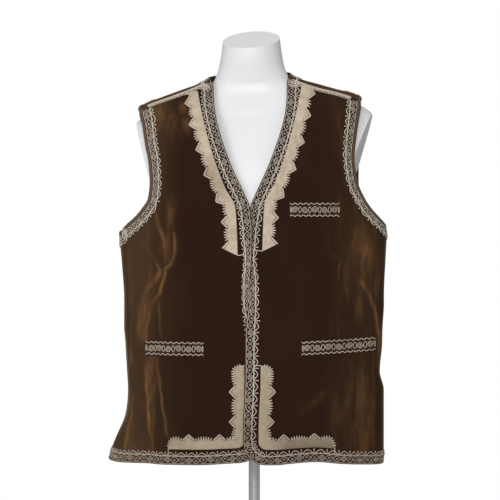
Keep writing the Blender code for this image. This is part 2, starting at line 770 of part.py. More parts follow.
def beside(curve, distance, panel=""):
    """A curve of (turn, height) moved sideways over the cloth, to the left of its course."""
    step = 1e-4
    turn, height = curve[:, 0], curve[:, 1]
    points = cloth(turn, height, panel)
    along = np.gradient(points, axis=0)
    round_it = (cloth(turn + step, height, panel) - cloth(turn - step, height, panel)) / (2 * step)
    up = (cloth(turn, height + step, panel) - cloth(turn, height - step, panel)) / (2 * step)
    aside = np.cross(np.cross(round_it, up), along)
    aside = aside / np.linalg.norm(aside, axis=-1, keepdims=True) * distance
    across, square = (aside * round_it).sum(-1), (round_it * round_it).sum(-1)
    upward, mixed = (aside * up).sum(-1), (round_it * up).sum(-1)
    up_square = (up * up).sum(-1)
    scale = square * up_square - mixed * mixed
    moved_turn = (across * up_square - upward * mixed) / scale
    moved_up = (upward * square - across * mixed) / scale
    return np.stack([turn + moved_turn, height + moved_up], axis=-1)


def armhole_binding(panel, velvet):
    """The narrow binding round an armhole, laid on the front and on the back."""
    forward = armhole(panel, behind=False)
    backward = armhole(panel, behind=True)[::-1]
    inwards = sign_of(panel)
    ring = evenly(np.concatenate([forward, backward[1:]]), BINDING_STATIONS + 1)
    edge = beside(ring, inwards * BINDING_INSET)
    wide = beside(ring, inwards * (BINDING_INSET + BINDING_WIDTH))
    tree = panel_tree(f"front_{panel}", "back")
    return closed_band(f"armhole_binding_{panel}", edge[:-1], wide[:-1], tree, velvet)


def closed_band(name, edge, wide, tree, velvet):
    """A flat ring that lies on the cloth between two closed curves of (turn, height)."""
    shares = (0.0, 0.5, 1.0)
    grid = np.stack([edge * (1 - share) + wide * share for share in shares], axis=1)
    grid = np.concatenate([grid[-1:], grid, grid[:1]])
    low, normal = settled(tree, grid[..., 0], grid[..., 1])
    low, high = low[1:-1], (low + WELT * normal)[1:-1]
    section = [high[:, 0], high[:, 1], high[:, 2], low[:, 2], low[:, 1], low[:, 0]]
    mesh = bmesh.new()
    verts = [[mesh.verts.new(point) for point in line] for line in section]
    for one, other in zip(verts, verts[1:] + verts[:1]):
        for here in range(len(one)):
            after = (here + 1) % len(one)
            mesh.faces.new([one[here], one[after], other[after], other[here]])
    bmesh.ops.recalc_face_normals(mesh, faces=mesh.faces)
    return make_object(name, mesh, velvet)


def form_ring(height, turns):
    """Points of the dress form's ring at a height."""
    side, front_depth, back_depth, squareness = (smooth(height, FORM_RINGS, c) for c in range(1, 5))
    depth = np.where(np.cos(turns) > 0, front_depth, back_depth)
    r = radius(turns, side, depth, squareness)
    x, y = r * np.sin(turns), -r * np.cos(turns)
    z = height + SHOULDER_LEAN * x * ramp(height, *LEAN_HEIGHTS)
    x = x + GARMENT_X + FORM_X + NECK_LEAN * ramp(height, 0.93, 1.0)
    return np.stack([x, y, z], axis=-1)


def form_torso(plastic):
    """The limbless form: rings, cut flat at the neck and where the arms would be."""
    mesh = bmesh.new()
    turns = np.linspace(0, 2 * math.pi, FORM_SIDES, endpoint=False)
    rings = []
    for height in form_heights():
        rings.append([mesh.verts.new(point) for point in form_ring(height, turns)])
    for low, high in zip(rings, rings[1:]):
        for here in range(FORM_SIDES):
            after = (here + 1) % FORM_SIDES
            mesh.faces.new([low[here], low[after], high[after], high[here]])
    mesh.faces.new(rings[0][::-1])
    mesh.faces.new(rings[-1])
    cut(mesh, CAP_CENTRE, CAP_NORMAL)
    for side in (1, -1):
        normal = mathutils.Vector((side * math.cos(ARM_CUT_TILT), 0, -math.sin(ARM_CUT_TILT)))
        normal.rotate(mathutils.Euler((0, 0, ARM_CUT_TURN)))
        cut(mesh, (side * ARM_CUT_OUT + GARMENT_X + FORM_X, 0, ARM_CUT_HEIGHT), normal)
    bmesh.ops.remove_doubles(mesh, verts=mesh.verts, dist=1e-5)
    bmesh.ops.recalc_face_normals(mesh, faces=mesh.faces)
    form = make_object("form_torso", mesh, plastic)
    form.data.transform(mathutils.Matrix.Rotation(FORM_TURN, 4, "Z"))


def form_heights():
    """Heights of the form's rings, closer together over the shoulders and at the bottom."""
    low = [0.300, 0.304, 0.316, 0.340]
    body = list(np.linspace(0.380, 0.860, 13))
    shoulder = list(np.linspace(0.880, 1.000, 13))
    return low + body + shoulder + [1.012, 1.030, 1.085]


def cut(mesh, point, normal):
    """Cuts off what lies beyond a plane and closes the cut with a flat face."""
    geometry = mesh.verts[:] + mesh.edges[:] + mesh.faces[:]
    made = bmesh.ops.bisect_plane(
        mesh, geom=geometry, dist=1e-6, plane_co=point, plane_no=normal, clear_outer=True
    )
    edges = [e for e in made["geom_cut"] if isinstance(e, bmesh.types.BMEdge)]
    bmesh.ops.contextual_create(mesh, geom=edges)


def turned(name, profile, sides, material):
    """A body turned about the stand's axis from (radius, height) pairs, with soft edges."""
    mesh = bmesh.new()
    verts = [mesh.verts.new((r, 0.0, z)) for r, z in profile]
    for one, other in zip(verts, verts[1:]):
        mesh.edges.new((one, other))
    bmesh.ops.spin(
        mesh, geom=mesh.verts[:] + mesh.edges[:], axis=(0, 0, 1), cent=(0, 0, 0),
        steps=sides, angle=2 * math.pi, use_merge=True,
    )
    bmesh.ops.remove_doubles(mesh, verts=mesh.verts, dist=1e-6)
    bmesh.ops.recalc_face_normals(mesh, faces=mesh.faces)
    return make_object(name, mesh, material)


def stand(chrome):
    """The round foot, the collar on it, the pole, and the flange under the form."""
    soft = SMALL_BEVEL
    top = BASE_THICK
    turned("stand_base", [
        (0, 0), (BASE_RADIUS - soft, 0), (BASE_RADIUS, soft), (BASE_RADIUS, top - soft),
        (BASE_RADIUS - soft, top), (0, top),
    ], 64, chrome)
    bottom, up = top + TOUCH, top + TOUCH + COLLAR_HEIGHT
    bore = POLE_RADIUS + TOUCH
    turned_ring("stand_collar", [
        (bore, bottom), (COLLAR_RADIUS, bottom), (COLLAR_RADIUS, up - soft),
        (COLLAR_RADIUS - soft, up), (bore, up),
    ], POLE_SIDES, chrome)
    flange_top = FORM_BOTTOM - TOUCH
    flange_bottom = flange_top - FLANGE_THICK
    turned("stand_pole", [
        (0, bottom), (POLE_RADIUS, bottom), (POLE_RADIUS, flange_bottom - TOUCH),
        (0, flange_bottom - TOUCH),
    ], POLE_SIDES, chrome)
    turned("stand_flange", [
        (0, flange_bottom), (FLANGE_RADIUS - soft, flange_bottom),
        (FLANGE_RADIUS, flange_bottom + soft), (FLANGE_RADIUS, flange_top), (0, flange_top),
    ], POLE_SIDES, chrome)


def turned_ring(name, profile, sides, material):
    """A ring turned about the stand's axis from a closed (radius, height) outline."""
    return turned(name, profile + profile[:1], sides, material)


def main():
    for old in list(bpy.data.objects):
        bpy.data.objects.remove(old)
    group = bpy.data.collections.new("waistcoat_on_dress_form")
    bpy.context.scene.collection.children.link(group)
    velvet = plain_material("brown_velvet", (0.035, 0.018, 0.010), 0.85)
    leather = plain_material("cream_leather", (0.55, 0.46, 0.33), 0.75)
    plastic = plain_material("white_plastic", (0.80, 0.80, 0.82), 0.22)
    chrome = plain_material("chrome", (0.78, 0.78, 0.80), 0.12, metallic=1.0)
    back(velvet)
    for panel in ("right", "left"):
        front(panel, velvet)
        points = [STRAP_TOP[panel] - point for point in NECK_POINTS]
        places = [p for p in stations(points, points[-1]) if p <= points[-1]]
        leather_piece(f"neck_applique_{panel}", neck_strap(panel, places), panel, leather)
        up_places = corner_places(UP_POINTS, UP_END)
        side_places = corner_places(SIDE_POINTS, SIDE_END)
        rows = hem_corner(panel, up_places, side_places)
        leather_piece(f"hem_applique_{panel}", rows, panel, leather)
        armhole_binding(panel, velvet)
    for panel, name, *numbers in WELTS:
        welt(panel, name, *numbers, velvet)
    form_torso(plastic)
    stand(chrome)


main()
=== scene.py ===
"""The looks of an embroidered velvet waistcoat on its dress form.

Metres, +Z up, the front faces -Y. The cloth is drawn on the same surface as the solids: a point of
it is named by its turn, the angle round from the centre front (positive to the wearer's left), and
by its height. The cords, the leather and the pockets lie on that surface, a little above it.
"""

import math

import bmesh
import bpy
import mathutils
import numpy as np
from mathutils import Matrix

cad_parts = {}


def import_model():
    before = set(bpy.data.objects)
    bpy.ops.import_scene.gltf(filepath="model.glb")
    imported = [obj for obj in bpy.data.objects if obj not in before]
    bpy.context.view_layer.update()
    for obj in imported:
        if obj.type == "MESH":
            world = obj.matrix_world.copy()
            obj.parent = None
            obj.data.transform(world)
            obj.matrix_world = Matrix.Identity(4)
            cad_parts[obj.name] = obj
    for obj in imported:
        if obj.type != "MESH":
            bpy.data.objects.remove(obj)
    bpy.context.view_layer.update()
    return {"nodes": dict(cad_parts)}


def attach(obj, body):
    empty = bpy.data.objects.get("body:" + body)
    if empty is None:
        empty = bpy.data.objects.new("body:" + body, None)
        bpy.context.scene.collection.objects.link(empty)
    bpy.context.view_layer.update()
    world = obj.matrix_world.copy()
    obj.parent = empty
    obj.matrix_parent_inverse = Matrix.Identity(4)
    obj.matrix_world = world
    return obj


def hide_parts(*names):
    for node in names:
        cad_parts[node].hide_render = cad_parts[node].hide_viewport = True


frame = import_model()

# The wearer's sides, and the sign of x on each: +X is the wearer's left
SIGN = {"right": -1, "left": 1}

# How thick the cloth, the leather and the welts are, as in the solids, and the cloth's round rims
CLOTH = 0.0022
LEATHER = 0.0014
WELT = 0.0012
SEAM_GAP = 0.0004
RIM_BULGE = 0.45

# The waistcoat's outline, as in the solids: the hem and where its wave ends, the underarms and how
# far over them the armholes' own line starts, the point of the V, the two ends of the shoulder
# seams, the middle's x, and how round the fronts' lower corners are
HEM = 0.270
HEM_WAVE_TOP = 0.36
UNDERARM = {"right": 0.6920, "left": 0.7060}
ARMHOLE_START = 0.004
V_POINT = 0.7403
TIP_X = 0.2045
TIP_Y = -0.038
NECK_X = 0.0715
NECK_Y = -0.024
GARMENT_X = -0.008
CORNER_RADIUS = 0.038

# How much higher the left shoulder is than the right one, as a slope, and the heights between
# which that comes in; and the heights between which a shoulder's surface is looked for
SHOULDER_LEAN = 0.043
LEAN_HEIGHTS = (0.72, 0.93)
SHOULDER_RANGE = (0.88, 1.004)

# Where one front lies over the other: how far its edge stands out, the height at which they change
# over, half of that stretch, where it ends above the V, and where it fades beside the edge
EDGE_LIFT = 0.0052
CHANGE_OVER = 0.585
CHANGE_OVER_HALF = 0.011
EDGE_LIFT_END = 0.81
EDGE_LIFT_FADE = (0.020, 0.085)

# Rings of the cloth's outer side:
# height, half-width on the wearer's right, on the left, depth in front, depth behind, squareness
CLOTH_RINGS = np.array([
    (0.255, 0.2680, 0.2480, 0.131, 0.117, 2.5),
    (0.295, 0.2560, 0.2498, 0.129, 0.114, 2.5),
    (0.355, 0.2345, 0.2498, 0.126, 0.109, 2.5),
    (0.400, 0.2308, 0.2498, 0.123, 0.105, 2.6),
    (0.434, 0.2325, 0.2423, 0.121, 0.103, 2.6),
    (0.490, 0.2350, 0.2468, 0.119, 0.102, 2.7),
    (0.566, 0.2347, 0.2478, 0.118, 0.102, 2.8),
    (0.641, 0.2394, 0.2526, 0.118, 0.104, 2.8),
    (0.690, 0.2432, 0.2550, 0.118, 0.106, 2.8),
    (0.735, 0.2345, 0.2430, 0.118, 0.107, 2.7),
    (0.780, 0.2170, 0.2240, 0.117, 0.107, 2.6),
    (0.840, 0.2130, 0.2150, 0.109, 0.104, 2.7),
    (0.880, 0.2145, 0.2150, 0.099, 0.097, 2.8),
    (0.906, 0.2160, 0.2165, 0.085, 0.088, 3.0),
    (0.924, 0.2145, 0.2155, 0.071, 0.078, 3.2),
    (0.9340, 0.2095, 0.2105, 0.063, 0.071, 3.0),
    (0.9430, 0.1925, 0.1960, 0.056, 0.066, 2.7),
    (0.9530, 0.1640, 0.1640, 0.051, 0.063, 2.4),
    (0.9650, 0.1270, 0.1270, 0.047, 0.061, 2.2),
    (0.9750, 0.0960, 0.0960, 0.046, 0.061, 2.1),
    (0.9840, 0.0795, 0.0795, 0.046, 0.060, 2.0),
    (0.9940, 0.0700, 0.0700, 0.046, 0.060, 2.0),
    (1.0050, 0.0650, 0.0650, 0.046, 0.060, 2.0),
])

# How far the hem's line lies above or below its height: turn in degrees, offset
HEM_WAVE = np.array([
    (-180, 0.0000),
    (-90, 0.0022),
    (-65, 0.0016),
    (-40, 0.0008),
    (-6, 0.0050),
    (6, 0.0020),
    (20, 0.0014),
    (30, 0.0036),
    (44, 0.0062),
    (56, 0.0022),
    (70, -0.0028),
    (90, -0.0055),
    (180, 0.0000),
])

# The inner edges of the fronts: height, x of the wearer's right front's edge, x of the left one's
FRONT_EDGES = np.array([
    (0.255, 0.0174, -0.0120),
    (0.330, 0.0174, -0.0120),
    (0.423, 0.0174, -0.0083),
    (0.496, 0.0143, -0.0080),
    (0.532, 0.0100, -0.0058),
    (0.570, -0.0013, -0.0007),
    (0.600, -0.0013, -0.0007),
    (0.632, 0.0010, -0.0040),
    (0.665, 0.0025, -0.0050),
    (0.6965, 0.0033, -0.0048),
    (0.7220, 0.0004, -0.0004),
    (0.7403, -0.0018, 0.0018),
    (0.7587, -0.0094, 0.0094),
    (0.8179, -0.0362, 0.0362),
    (0.8777, -0.0563, 0.0574),
    (0.9080, -0.0634, 0.0648),
    (0.9380, -0.0675, 0.0682),
    (0.9698, -0.0692, 0.0692),
])

# The armhole's edge as seen from the front: height, then how far out it is on the wearer's
# right front, right back, left front and left back
ARMHOLE = np.array([
    (0.6980, 0.2360, 0.2340, 0.2510, 0.2510),
    (0.7080, 0.2258, 0.2258, 0.2495, 0.2500),
    (0.7200, 0.2115, 0.2135, 0.2385, 0.2405),
    (0.7350, 0.1985, 0.2010, 0.2240, 0.2270),
    (0.7550, 0.1865, 0.1890, 0.2100, 0.2140),
    (0.7850, 0.1835, 0.1850, 0.1970, 0.2055),
    (0.8250, 0.1860, 0.1875, 0.1915, 0.2050),
    (0.8600, 0.1925, 0.1930, 0.1950, 0.2045),
    (0.9000, 0.1985, 0.1990, 0.2015, 0.2030),
])

# The back's neckline: share of the way from one shoulder seam to the other, height over the seam
BACK_NECK = np.array([
    (0.00, 0.0000),
    (0.18, 0.0105),
    (0.50, -0.0040),
    (0.77, 0.0105),
    (1.00, 0.0000),
])

# Where the back's armhole passes over the shoulder: x and y of the plan
OVER_SHOULDER = ((0.2000, 0.034), (0.2035, 0.008), (0.2045, -0.016))

# Folds: turn at the top and at the bottom, in degrees, height at the top and at the bottom,
# half-width in degrees, and how far it stands out (or in, if negative)
FOLDS = np.array([
    (-63, -62, 0.700, 0.262, 4.5, -0.0085),
    (-74, -73, 0.680, 0.262, 5.0, 0.0040),
    (-52, -54, 0.600, 0.262, 4.5, 0.0030),
    (-85, -86, 0.520, 0.380, 7.0, -0.0045),
    (58, 68, 0.700, 0.560, 6.0, -0.0045),
    (72, 80, 0.690, 0.560, 6.0, 0.0040),
    (60, 57, 0.430, 0.262, 5.5, 0.0055),
    (70, 68, 0.440, 0.262, 4.5, -0.0065),
    (118, 122, 0.640, 0.262, 7.0, -0.0060),
    (140, 136, 0.560, 0.262, 8.0, 0.0060),
    (172, 168, 0.600, 0.262, 10.0, -0.0050),
    (-150, -154, 0.600, 0.262, 9.0, 0.0065),
    (-128, -132, 0.580, 0.262, 8.0, -0.0060),
    (-108, -110, 0.660, 0.262, 6.0, 0.0040),
])

# Over how much height a fold fades out that ends above the hem
FOLD_FADE = 0.06

# Creases where the pile is crushed, on the fronts: half-width, then the points of each line as x
# and height, all in millimetres, and strength in hundredths
# They raise the cloth a little, and the velvet is golden along them: crushed pile with painted
# sheen.
CREASE_LINES = (
    (2.0, (-204, 673, 20), (-183, 644, 60), (-170, 622, 70)),
    (2.6, (-167, 700, 20), (-165, 672, 70), (-164, 640, 50)),
    (14.0, (-159, 705, 10), (-160, 665, 35), (-162, 630, 10)),
    (2.8, (-148, 691, 50), (-145, 659, 90), (-151, 633, 80), (-170, 621, 70)),
    (4.8, (-170, 621, 70), (-188, 597, 70), (-204, 574, 60), (-211, 510, 40)),
    (2.6, (-161, 621, 90), (-173, 583, 100), (-191, 562, 100), (-199, 492, 60)),
    (2.0, (-176, 574, 30), (-172, 533, 70), (-170, 501, 50)),
    (12.0, (-180, 610, 10), (-200, 555, 40), (-203, 500, 30)),
    (2.4, (-186, 600, 20), (-201, 556, 70), (-206, 520, 30)),
    (10.0, (-188, 480, 20), (-188, 445, 50), (-190, 405, 30)),
    (3.0, (-198, 463, 50), (-195, 376, 100), (-194, 352, 90), (-185, 297, 40)),
    (2.6, (-179, 463, 40), (-172, 416, 70), (-170, 381, 60), (-156, 317, 30)),
    (5.5, (-182, 425, 30), (-190, 392, 70), (-195, 372, 30)),
    (2.8, (-227, 410, 30), (-227, 361, 90), (-237, 297, 60)),
    (2.8, (-229, 485, 20), (-228, 463, 80), (-227, 440, 20)),
    (3.0, (-180, 730, 20), (-174, 705, 90), (-167, 679, 70)),
    (8.0, (-152, 755, 10), (-152, 733, 40), (-153, 700, 20)),
    (10.0, (-128, 925, 40), (-124, 895, 40), (-120, 860, 0)),
    (24.0, (-178, 912, 50), (-152, 880, 15)),
    (23.0, (202, 705, 20), (202, 655, 45), (203, 600, 20)),
    (2.8, (188, 712, 10), (184, 690, 70), (179, 662, 30)),
    (2.6, (204, 700, 20), (206, 664, 70), (200, 625, 30)),
    (3.4, (192, 607, 80), (209, 582, 100), (222, 551, 100), (230, 512, 90)),
    (4.2, (230, 512, 90), (231, 480, 70), (228, 449, 40)),
    (2.0, (163, 656, 10), (156, 630, 40), (150, 590, 0)),
    (1.8, (138, 655, 0), (148, 648, 25), (158, 640, 10)),
    (7.0, (190, 580, 20), (193, 558, 50), (192, 530, 10)),
    (7.0, (127, 401, 10), (105, 382, 13), (75, 355, 0)),
    (9.5, (172, 388, 22), (158, 362, 20), (135, 330, 0)),
    (11.0, (200, 440, 20), (196, 395, 50), (188, 345, 35), (178, 290, 10)),
)
CREASES = np.array([
    (*one, *other, half_width)
    for half_width, *points in CREASE_LINES
    for one, other in zip(points, points[1:])
]) / (1000, 1000, 100, 1000, 1000, 100, 1000)
CREASE_HEIGHT = 0.0008

# How the creases wander to the sides: how far, waves by height, and where the waves start
CREASE_WANDER = ((0.0010, 63.0, 0.0), (0.0007, 171.0, 1.0))

# How much painted sheen the back gets over the shoulders, where its velvet is seen at a grazing
# angle, between which heights that comes in, and how golden a welt is made
SHOULDER_SHEEN = 0.36
SHOULDER_HEIGHTS = (0.915, 0.940)
WELT_GOLDEN = 0.12

# How finely the panels are divided, where their rows meet the edges' bends, and where the lines
# down the back are, between its sides and its middle
FRONT_COLUMNS = 140
BACK_SIDE_COLUMNS = 70
BACK_NECK_COLUMNS = 40
ROWS = (115, 28, 65)
EDGE_SPLIT = 0.600
ARMHOLE_BEND = 0.755
BACK_LINE_X = 0.105
BACK_LINE_TOP = 0.965

# The dress form: height, half-width, depth in front, depth behind, squareness
FORM_RINGS = np.array([
    (0.300, 0.140, 0.080, 0.078, 2.3),
    (0.304, 0.155, 0.092, 0.088, 2.3),
    (0.316, 0.166, 0.100, 0.095, 2.3),
    (0.360, 0.172, 0.104, 0.094, 2.3),
    (0.440, 0.164, 0.101, 0.089, 2.3),
    (0.520, 0.150, 0.098, 0.086, 2.3),
    (0.600, 0.153, 0.102, 0.089, 2.3),
    (0.680, 0.166, 0.107, 0.094, 2.3),
    (0.740, 0.180, 0.108, 0.096, 2.3),
    (0.780, 0.208, 0.100, 0.089, 2.1),
    (0.820, 0.233, 0.092, 0.080, 2.0),
    (0.866, 0.235, 0.076, 0.070, 2.0),
    (0.893, 0.229, 0.064, 0.064, 2.0),
    (0.907, 0.220, 0.056, 0.060, 2.1),
    (0.920, 0.202, 0.052, 0.060, 2.2),
    (0.9315, 0.178, 0.046, 0.055, 2.2),
    (0.9435, 0.150, 0.041, 0.052, 2.2),
    (0.9565, 0.112, 0.038, 0.050, 2.1),
    (0.9665, 0.087, 0.038, 0.050, 2.0),
    (0.9770, 0.0725, 0.040, 0.051, 2.0),
    (0.9920, 0.0645, 0.043, 0.052, 2.0),
    (1.0040, 0.0608, 0.046, 0.052, 2.0),
    (1.0250, 0.0570, 0.049, 0.052, 2.0),
    (1.0550, 0.0532, 0.051, 0.051, 2.0),
    (1.0850, 0.0510, 0.051, 0.051, 2.0),
])

# How finely the form is divided: the heights of its stretches and the levels in each, and its sides
FORM_HEIGHTS = ((0.300, 0.316, 8), (0.330, 0.860, 50), (0.868, 1.085, 90))
FORM_SIDES = 128

# How the form stands under the garment: its x and turn, and how its neck leans between two heights
FORM_X = 0.006
FORM_TURN = math.radians(-2.5)
NECK_LEAN = -0.0035
NECK_LEAN_HEIGHTS = (0.93, 1.0)

# The form's flat cuts, at the neck and where the arms would be, and their rounded edges
FORM_BEVEL = 0.0012
FORM_SHARP = math.radians(40)
CAP_CENTRE = (-0.005, 0.0, 1.0535)
CAP_NORMAL = (-0.055, -0.370, 0.927)
ARM_CUT_OUT = 0.2140
ARM_CUT_HEIGHT = 0.888
ARM_CUT_TILT = math.radians(18)
ARM_CUT_TURN = math.radians(-8)

# Cords: their radii, how finely they are divided, and how high their middles lie over the cloth,
# as a share of the radius
THIN = 0.00058
CORD = 0.00090
THICK = 0.00115
BEAD = 0.0018
CORD_STEP = 0.0014
CORD_SIDES = 6
SUNK = 0.7

# Coils of cord: first radius, turns, points in a turn. Between coils two cords cross: their gap
# from a coil, their width as a share of its width, the gap before those at the row's two ends, how
# high one passes over the other, and the curls in their eyes
COIL_START = 0.0007
COIL_TURNS = 2.25
COIL_POINTS = 40
COIL_GAP = 0.0002
CROSSED_SHARE = 0.95
CROSSED_END = 0.001
CROSSED_LIFT = 0.0002
CURL_SHARE = 0.42
CURL_TURNS = 1.1

# Arches: the power that rounds them, half-width as a share of the period, how far the bead in one
# reaches, and a picot between two, past the arches' tops: its rise, its middle and its thick tip
ARCH_POWER = 1.35
ARCH_HALF = 0.43
BEAD_REACH = 0.30
PICOT_RISE = 0.0015
PICOT_MIDDLE = 0.7
PICOT_TIP = 1.4

# The border, measured from the panel's edge: its two cords, how far past the main one the arches
# start, and the scrolls between the two
BORDER_WIDTH = 0.0280
EDGE_CORD = 0.0013
MAIN_CORD = 0.0152
ARCH_GAP = 0.0004
SCROLL_MIDDLE = 0.0081
SCROLL_HALF = 0.0056
SCROLL_PERIOD = 0.0400
SCROLL_INSET = 0.002

# Each border: how far from its strip's ends it starts and stops, its arches' period and their rise
BORDERS = {
    "front_right": (0.006, 0.003, 0.0197, 0.0058),
    "front_left": (0.006, 0.003, 0.0220, 0.0069),
    "back_hem": (0.003, 0.003, 0.0197, 0.0062),
    "back_neck": (0.004, 0.004, 0.0197, 0.0062),
    "armhole_front": (0.001, 0.001, 0.0197, 0.0062),
    "armhole_back": (0.001, 0.030, 0.0197, 0.0062),
}

# Where the fronts change over their borders are narrower: the heights between which that comes
# in below and above, and how much narrower each border gets
NARROWED_FROM = (0.530, 0.572)
NARROWED_TO = (0.640, 0.695)
NARROWED = {"right": 0.38, "left": 0.28}

# The armhole's border: shares of the way up, how wide it is there, and how far past the binding
ARMHOLE_SCALES = ((0.0, 0.35, 0.60, 0.85, 1.0), (0.95, 0.80, 0.85, 1.0, 1.0))
ARMHOLE_INSET = 0.0002

# The armhole's tape: its width, and its outline as distances from the edge and heights over the
# cloth, which are read on lines at a step
BINDING_WIDTH = 0.0072
TAPE = (
    (0.0062, 0.0002), (0.0060, 0.0009), (0.0040, 0.0012), (0.0010, 0.0011), (-0.0004, 0.0006),
    (-0.0010, -0.0008), (-0.0004, -0.0026), (0.0012, -0.0034), (0.0036, -0.0034),
    (0.0038, -0.0024), (0.0010, -0.0024), (0.0002, -0.0010), (0.0010, 0.0001),
)
TAPE_STEP = 0.0016
TAPE_LINES = 5

# The shoulder's braid: how far in front of the seam it lies, its width, its ends' distances from
# the neck and the tip, its second cord, and its arches' start, period, rise and picots
BRAID_FORWARD = {"right": 0.0035, "left": 0.0075}
BRAID_WIDTH = 0.024
BRAID_ENDS = (0.016, 0.018)
BRAID_CORD = 0.0030
BRAID_ARCHES = (0.0034, 0.0094, 0.0056, 0.0066)

# The leather: a strap's width, how far its scallops and points stand out, and half a point's
# width; then how far over the cloth it lies, how it swells, and how finely it is divided
STRAP_WIDTH = 0.0155
SCALLOP_RISE = 0.0050
POINT_RISE = 0.0115
POINT_HALF = 0.0125
LEATHER_GAP = 0.0003
LEATHER_CROWN = 0.0004
LEATHER_STEP = 0.0012
LEATHER_COLUMNS = 10

# The neck's straps: the line that they follow, as height and x, how far up and down its slope is
# read, the straps' ends, the heights of their points, and how much higher the left one lies
STRAP_LINE = np.array([
    (0.6300, 0.0220),
    (0.7000, 0.0245),
    (0.7374, 0.0270),
    (0.7730, 0.0455),
    (0.8490, 0.0722),
    (0.9090, 0.0875),
    (0.9600, 0.0975),
])
STRAP_RUN = 0.02
STRAP_TOP = {"right": 0.9575, "left": 0.9520}
STRAP_END = 0.6500
NECK_POINTS = (0.9390, 0.8985, 0.8520, 0.8060, 0.7600, 0.7120, 0.6640)
LEFT_STRAP_RAISED = 0.0080

# The hem's corner pieces: the points and the end of each arm, measured from the corner, where an
# arm's rows start past the bend, how round the bend and the arms' ends are, the least width of an
# end as a squared share, how far the corner lies from the front's edge and over the hem, how round
# the nook inside is, and the bend's rows: first and last angle, and how many
UP_ARM = ((0.0504, 0.1048), 0.153)
SIDE_ARM = ((0.0446, 0.1004), 0.137)
ARM_START = 0.003
ROUND_CORNER = 0.014
ROUND_END = 0.010
NARROWEST_END = 0.04
CORNER_BORDER = 0.0280
CORNER_LIFT = 0.0280
NOOK_ROUND = 0.0015
BEND = (6, 84, 12)

# The leather's edge: how far inside it the leather stops, under teeth on the scallops and under a
# knotted cord with eyelets on the points
LACE = 0.0012
TOOTH = 0.0020

# A tooth: the pitch, how far back and forward it reaches, its radii and heights from root to tip
TOOTH_PITCH = 0.0045
TOOTH_REACH = np.array([-0.0036, 0.0004, 0.0030])
TOOTH_RADII = (0.00110, 0.00145, 0.00070)
TOOTH_LIFT = (LEATHER + LEATHER_GAP, 0.8 * (LEATHER + LEATHER_GAP), 0.0003)

# A point's cord and its knots, and its height as a share of the leather's thickness; then its
# eyelets, each a short thread that is thick in its middle; and the inner edge's cord
KNOT_PITCH = 0.0040
KNOT_CORD = 0.00100
KNOT_SWELL = 0.35
KNOT_LIFT = 0.4
EYELET_IN = 0.0029
EYELET = 0.00090
EYELET_RADII = EYELET * np.array([0.6, 1.0, 0.6])
EYELET_HEIGHTS = EYELET * np.array([-0.8, 0.0, 0.8])
INNER_CORD_LIFT = 0.0006

# The cords that join the leather to the border: how far a strap's one rises, and how far up from
# the arm's lower edge a corner piece's one starts
STRAP_CORD_RISE = 0.002
ARM_CORD_START = 0.006

# The pockets' welts: panel, the solid's name, x of the end nearest the front edge, height of its
# middle, length, and how far its far end rises
WELTS = (
    ("right", "pocket_welt_right", -0.0830, 0.4800, 0.111, 0.001),
    ("left", "pocket_welt_left", 0.0925, 0.4810, 0.138, 0.007),
    ("left", "pocket_welt_chest", 0.0715, 0.7330, 0.092, 0.000),
)
WELT_GAP = 0.0002
WELT_HEIGHT = 0.026
WELT_END = 0.001

# A welt's cords: the wavy ones' distance from its middle, swing, waves' length and radius, and the
# scrolls' half-width and period
WELT_EDGE = 0.0106
WELT_SWING = 0.0014
WELT_WAVE = 0.0100
WELT_CORD = 0.00070
WELT_SCROLLS = (0.0060, 0.0190)

# The velvet's colours, straight on, at the sides and where it is crushed; then the binding's
# The colour at the sides is painted sheen; the crushed one is crushed pile with painted sheen.
VELVET = ((0.0240, 0.0108, 0.0064), (0.0640, 0.0350, 0.0185), (0.2050, 0.1020, 0.0370))
BINDING = ((0.1050, 0.0690, 0.0480), (0.1250, 0.0840, 0.0590), (0.2000, 0.1300, 0.0800))

# The camera: its distance and height, and the photograph's scale at the stand's axis
CAMERA_AWAY = 4.0
CAMERA_HEIGHT = 0.660
IMAGE_SIDE = 500
METRES_A_PIXEL = 0.00187
SENSOR = 36.0

# The lights: place, size and power. All aim at one point
LIGHTS = {
    "key_light": ((-1.9, -3.0, 2.3), 1.6, 42.0),
    "front_light": ((-0.1, -3.6, 1.6), 0.7, 56.0),
    "top_light": ((0.0, 0.0, 3.4), 1.6, 14.0),
    "back_light": ((-0.4, 3.0, 0.9), 1.2, 18.0),
}
AIM = (0, 0, 0.70)
FLOOR_RADIUS = 1.5
FLOOR_DROP = 0.0008
WORLD_LIGHT = 0.30


def smooth(at, table, column):
    """A table's column, read between its rows by a monotone cubic."""
    rows, values = table[:, 0], table[:, column]
    gaps = np.diff(rows)
    slopes = np.diff(values) / gaps
    before, after = slopes[:-1], slopes[1:]
    same_way = before * after > 0
    mean = np.where(same_way, 2 * before * after / np.where(same_way, before + after, 1), 0)
    tangents = np.concatenate([slopes[:1], mean, slopes[-1:]])
    at = np.clip(at, rows[0], rows[-1])
    row = np.clip(np.searchsorted(rows, at) - 1, 0, len(gaps) - 1)
    t = (at - rows[row]) / gaps[row]
    start = (1 + 2 * t) * (1 - t) ** 2 * values[row] + t * (1 - t) ** 2 * gaps[row] * tangents[row]
    end = t * t * (3 - 2 * t) * values[row + 1] + t * t * (t - 1) * gaps[row] * tangents[row + 1]
    return start + end


def ramp(value, low, high):
    """0 below low, 1 above high, and a smooth step between."""
    t = np.clip((value - low) / (high - low), 0, 1)
    return t * t * (3 - 2 * t)


def unit(vectors):
    """Vectors of the same directions and a length of 1."""
    return vectors / np.maximum(np.linalg.norm(vectors, axis=-1, keepdims=True), 1e-12)


def travelled(points):
    """How far along a line each of its points is."""
    return np.concatenate([[0], np.cumsum(np.linalg.norm(np.diff(points, axis=0), axis=1))])


def cells(number):
    """The four-sided faces between rows and columns of numbered points."""
    corners = number[:-1, :-1], number[:-1, 1:], number[1:, 1:], number[1:, :-1]
    return np.stack(corners, -1).reshape(-1, 4)


